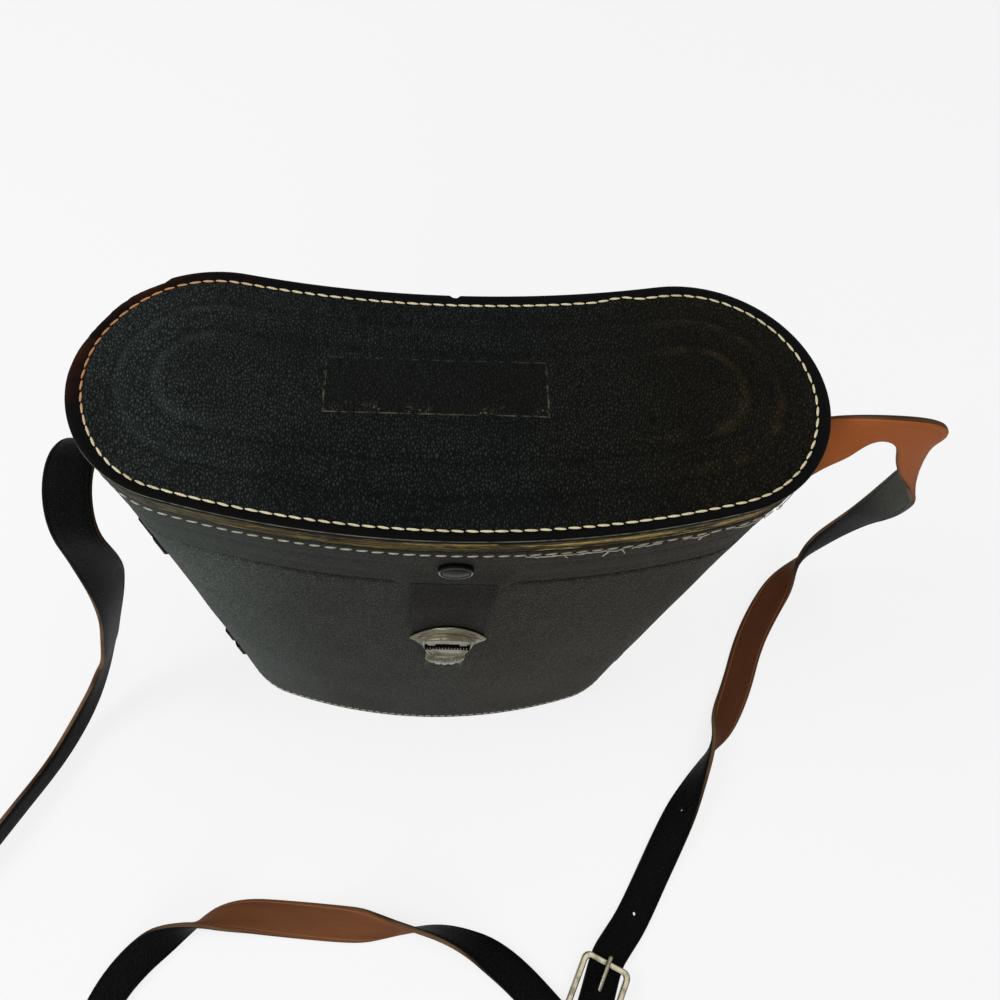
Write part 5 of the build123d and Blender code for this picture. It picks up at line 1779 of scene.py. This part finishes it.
    def button(self, finish: Wardrobe) -> Piece:
        """Fluted, round-footed button, with painted shade between its flutes."""
        skin, rows = Skin(), []
        columns = [-1 + k / 40 for k in range(81)]
        for step, (y, z) in enumerate(self.button_line):
            share = step / (len(self.button_line) - 1)
            bulge = math.sin(math.pi * share)
            places, painted_shading = [], []
            for u in columns:
                facet = (u + 1) / 2 * self.flutes % 1.0 if abs(u) < 1 else 0.0
                swell = 1 - (2 * facet - 1) ** 2
                narrow = 1 - 0.1 * eased(share, 0.3, 1.0)
                lift = 4.6 * abs(u) ** 2.6 * eased(share, 0.15, 0.9) - 0.45 * swell * eased(share, 0.5, 0.85)
                sink = (0.75 * u * u + 0.32 * (1 - swell)) * bulge
                x = self.middle + u * narrow * self.button_half
                places.append(Vector((x, (y + sink) * MM, (z + lift) * MM)))
                # Painted shade along the sunk lines between the flutes.
                dark = 0.55 * ridge(min(facet, 1 - facet), 0.0, 0.09) * eased(share, 0.1, 0.3)
                painted_shading.append(dark if abs(u) < 0.97 else 0.0)
            rows.append(skin.ring(places, hollow=painted_shading))
        skin.loft(rows, closed=False, looped=True)
        for side in (0, -1):
            skin.cap([row[side] for row in rows])
        return place(skin.piece("button_fluted", [finish.plated]), "catch", Slot.NICKEL)

    def snap(self, finish: Wardrobe) -> None:
        """Round rivet over the tab: a domed black cap in a ring that is painted dark, with a painted
        highlight on the crown of its lip, strong on the lower half and faint on the upper.
        """
        x, z = self.snap_at
        lean = math.atan2(FORM.front_y(FORM.parting) - FORM.front_y(FORM.height), FORM.height - FORM.parting)
        out = Vector((0, -math.cos(lean), -math.sin(lean)))
        up = Vector((0, -math.sin(lean), math.cos(lean)))
        start = Vector((x, FORM.front_y(z), z))
        for name, profile, material, slot, node in (
                ("snap_ring", SNAP_RING, finish.snap, Slot.NICKEL, "hasp_rivet"),
                ("snap_cap", SNAP_CAP, finish.enamel, Slot.ENAMEL, "hasp_rivet_cap")):
            skin, rows = Skin(), []
            for r, h in profile:
                places, painted_shading = [], []
                for k in range(self.snap_sides):
                    turn = 2 * math.pi * k / self.snap_sides
                    way = Vector((math.cos(turn), 0, 0)) + up * math.sin(turn)
                    places.append(start + way * max(r, 0.01) * MM + out * h * MM)
                    # Painted light: the ring is painted shade all over except the crown of its lip, which
                    # takes a painted highlight on its lower half and a faint one on its upper half.
                    low = eased(math.sin(turn), 0.45, -0.25)
                    painted_shading.append(1.0 - (0.12 + 0.88 * low) * eased(h, 1.2, 1.45) * eased(r, 4.4, 4.6))
                rows.append(skin.ring(places, hollow=painted_shading))
            skin.tube(rows)
            place(skin.piece(name, [material]), "lid", slot, node)

    def build(self, frame: dict[str, Any], finish: Wardrobe, repeater: Repeater) -> None:
        """Makes the tab, the metal and the snap."""
        self.tab(finish)
        self.plate(finish)
        self.teeth(finish, repeater)
        self.snap(finish)
        root = softened(frame, "hasp_tab_root", "tab_root_leather", 0.4 * MM, finish.tab)
        place(root, "lid", Slot.BODY, "hasp_tab_root")
        self.button(finish)
        slider = softened(frame, "catch_slider", "catch_plate", 0.18 * MM, finish.nickel, self.without_drum)
        place(slider, "catch", Slot.NICKEL, "catch_slider")
        lock = softened(frame, "lock_base", "lock_plate", 0.15 * MM, finish.blackened)
        place(lock, "case", Slot.NICKEL, "lock_base")
        paint(frame, finish.brass, "hasp_washer")
        paint(frame, finish.blackened, "lock_rivets")
        paint(frame, finish.steel, "catch_spring")


@dataclass
class Carrier:
    """Carry strap with its loops, rivets and buckle."""
    ribbon: Ribbon = field(default_factory=Ribbon)
    exit_x: float = 104.72 * MM
    exit_y: float = 7.0 * MM
    exit_z: float = 154.2 * MM
    short_length: float = 1.183
    long_length: float = 0.591
    hole_radius: float = 0.8 * MM
    hole_sides: int = 20
    cutter_reach: float = 6 * MM
    holes: tuple[Pair, ...] = ((93.2, -124.4), (120.6, -80.0))
    short_route: Route = field(default_factory=lambda: Route(SHORT_ROUTE))
    long_route: Route = field(default_factory=lambda: Route(LONG_ROUTE))

    def side_run(self, name: str, side: int, node: str, finish: Wardrobe) -> Piece:
        """Stretch of the strap that lies up one end wall, through its loops."""
        top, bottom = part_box(node)[1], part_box(node)[0]
        lean = math.atan2(FORM.rim.half_width - FORM.foot.half_width, FORM.parting)
        out = Vector((side * math.cos(lean), 0, -math.sin(lean)))
        half = (top.z - bottom.z) / 2 / math.cos(lean)
        middle = Vector(((top.x + bottom.x) / 2, self.exit_y, (top.z + bottom.z) / 2))
        up = Vector((side * math.sin(lean), 0, math.cos(lean)))
        half -= self.ribbon.thick * math.sin(lean)
        stations = [(middle + up * half * (-1 + k / 20), out) for k in range(41)]
        return place(self.ribbon.mesh(name, stations, finish.strap), "case", Slot.TAN, node)

    def punched(self, made: Piece, spots: Sequence[tuple[Vector, Vector, Vector]],
                finish: Wardrobe) -> None:
        """Cuts holes through a strap.

        Args:
            made: The strap.
            spots: Middle of each hole, way through the strap and way along it.
            finish: The finishes.
        """
        for at, through, way in spots:
            skin, rows = Skin(), []
            through = through.normalized()
            way = (way - through * way.dot(through)).normalized()
            other = through.cross(way)
            for lift in (-self.cutter_reach, self.cutter_reach):
                turns = [2 * math.pi * k / self.hole_sides for k in range(self.hole_sides)]
                rows.append(skin.ring([at + through * lift + way * (math.cos(a) * self.hole_radius)
                                       + other * math.sin(a) * self.hole_radius for a in turns]))
            skin.tube(rows)
            cutter = skin.piece("cutter", [finish.strap, finish.hole])
            for polygon in cutter.data.polygons:
                polygon.material_index = 1
            cut = made.modifiers.new("cut", "BOOLEAN")
            cut.operation, cut.solver, cut.object = "DIFFERENCE", "EXACT", cutter
            settled(made)
            bpy.data.objects.remove(cutter)

    def build(self, frame: dict[str, Any], finish: Wardrobe) -> None:
        """Makes the straps, loops, rivets and buckle."""
        short, long_ = self.short_route.stations(), self.long_route.stations()
        log.info("strap lines: %.3f m and %.3f m", length_of(short), length_of(long_))
        short_piece = self.ribbon.mesh("strap_short_leather", short, finish.strap)
        long_piece = self.ribbon.mesh("strap_long_leather", long_, finish.strap, 9 * MM, finish.hole)
        spots = []
        for x, y in self.holes:
            spot = Vector((x * MM, y * MM))
            i = min(range(1, len(long_) - 1), key=lambda k: (long_[k][0].xy - spot).length)
            spots.append((long_[i][0], long_[i][1], long_[i + 1][0] - long_[i - 1][0]))
        self.punched(long_piece, spots, finish)
        place(short_piece, "case", Slot.TAN, "strap_short")
        place(long_piece, "case", Slot.TAN, "strap_long", "strap_tip")
        self.side_run("strap_side_left_leather", -1, "strap_side_left", finish)
        self.side_run("strap_side_right_leather", 1, "strap_side_right", finish)
        metal = [place(softened(frame, node, name, 0.3 * MM, material), body, slot, node)
                 for node, name, body, material, slot in
                 (("buckle_frame", "buckle_ring", "case", finish.nickel, Slot.NICKEL),
                  ("buckle_prong", "buckle_pin", "prong", finish.nickel, Slot.NICKEL),
                  ("strap_keeper", "keeper_leather", "case", finish.small, Slot.BODY),
                  ("strap_eye", "eye_leather", "case", finish.small, Slot.TAN))]
        for level in ("lower", "upper"):
            for side in ("left", "right"):
                node = f"strap_loop_{level}_{side}"
                place(softened(frame, node, f"loop_leather_{level}_{side}", 0.5 * MM, finish.small), "case",
                      Slot.BODY, node)
        paint(frame, finish.dark_metal, "loop_rivets", "anchor_rivets")


@dataclass
class Studio:
    """Pale floor, soft light and the camera."""
    place: Point = (-10.25 * MM, -128.55 * MM, 428.4 * MM)
    yaw: float = 0.068
    pitch: float = 1.107
    roll: float = 0.085
    lens: float = 30.35
    shift: float = 0.0602
    sensor: float = 36.0
    target: Point = (0.0, 0.0, 120.0 * MM)
    floor_reach: float = 3.0
    unseen: float = 0.3

    def camera(self) -> None:
        """Sets the camera."""
        data = bpy.data.cameras.new("camera")
        data.lens, data.sensor_width, data.shift_x = self.lens, self.sensor, self.shift
        data.clip_start, data.clip_end = 0.01, 50.0
        made = linked("camera", data)
        ahead = Vector((math.sin(self.yaw) * math.cos(self.pitch), math.cos(self.yaw) * math.cos(self.pitch),
                        -math.sin(self.pitch)))
        level = Vector((math.cos(self.yaw), -math.sin(self.yaw), 0))
        above = level.cross(ahead)
        right = level * math.cos(self.roll) + above * math.sin(self.roll)
        up = above * math.cos(self.roll) - level * math.sin(self.roll)
        turn = Matrix((right, up, -ahead)).transposed()
        made.matrix_world = Matrix.Translation(self.place) @ turn.to_4x4()
        bpy.context.scene.camera = made

    def lamp(self, name: str, at: Point, size: float, power: float, tint: Point) -> None:
        """Adds a soft lamp that faces the case."""
        data = bpy.data.lights.new(name, "AREA")
        data.shape, data.size, data.energy, data.color = "DISK", size, power, tint
        made = linked(name, data)
        way = (Vector(at) - Vector(self.target)).normalized()
        made.matrix_world = Matrix.Translation(at) @ way.to_track_quat("Z", "Y").to_matrix().to_4x4()

    def surroundings(self) -> None:
        """Floor and world, white where the camera, gloss or glass sees them."""
        f = Finishing("pale_floor")
        seen = f.add("ShaderNodeLightPath").outputs
        direct = Value(f, seen["Is Camera Ray"]).most(Value(f, seen["Is Glossy Ray"])).most(
            Value(f, seen["Is Transmission Ray"]))
        white = f.add("ShaderNodeEmission", None, {"Color": (1, 1, 1, 1), "Strength": 1.0})
        matt = f.add("ShaderNodeBsdfDiffuse", None, {"Color": (0.86, 0.86, 0.86, 1)})
        both = f.add("ShaderNodeMixShader", None, {0: direct * 0.8, 1: matt.outputs[0], 2: white.outputs[0]})
        f.add("ShaderNodeOutputMaterial", None, {"Surface": both.outputs[0]})
        mesh = bpy.data.meshes.new("floor")
        reach = self.floor_reach
        mesh.from_pydata([(-reach, -reach, 0), (reach, -reach, 0), (reach, reach, 0), (-reach, reach, 0)], [],
                         [(0, 1, 2, 3)])
        mesh.materials.append(f.material)
        floor = linked("floor", mesh)
        world = bpy.data.worlds.new("room")
        bpy.context.scene.world = world
        world.use_nodes = True
        tree = world.node_tree
        tree.nodes.clear()
        path = add_node(tree, "ShaderNodeLightPath").outputs
        seen = path["Is Camera Ray"]
        for kind in ("Is Glossy Ray", "Is Transmission Ray"):
            seen = add_node(tree, "ShaderNodeMath", {"operation": "MAXIMUM"},
                            {0: seen, 1: path[kind]}).outputs[0]
        level = add_node(tree, "ShaderNodeMapRange", None, {0: seen, 3: self.unseen, 4: 1.0})
        back = add_node(tree, "ShaderNodeBackground", None, {"Strength": level.outputs[0]})
        add_node(tree, "ShaderNodeOutputWorld", None, {0: back.outputs[0]})

    def build(self) -> None:
        """Makes the floor, the lamps and the camera."""
        bpy.context.scene.view_settings.view_transform = "Standard"
        self.camera()
        self.surroundings()
        self.lamp("window", (-1.1, -0.1, 1.2), 0.8, 9.0, (0.95, 0.98, 1.0))
        self.lamp("ceiling", (0.3, 0.1, 1.7), 1.2, 8.0, (1.0, 0.98, 0.95))
        self.lamp("front", (-0.35, -1.3, 0.7), 0.8, 5.0, (0.96, 0.98, 1.0))


def main() -> None:
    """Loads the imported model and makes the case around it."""
    logging.basicConfig(level=logging.INFO, format="%(name)s: %(message)s")
    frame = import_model()
    Studio().build()
    finish, repeater = Wardrobe(), Repeater()
    Carrier().build(frame, finish)
    Lid().build(frame, finish, repeater)
    Body().build(frame, finish, repeater)
    BackHinge().build(finish, repeater)
    Latch().build(frame, finish, repeater)


if __name__ == "__main__":
    main()
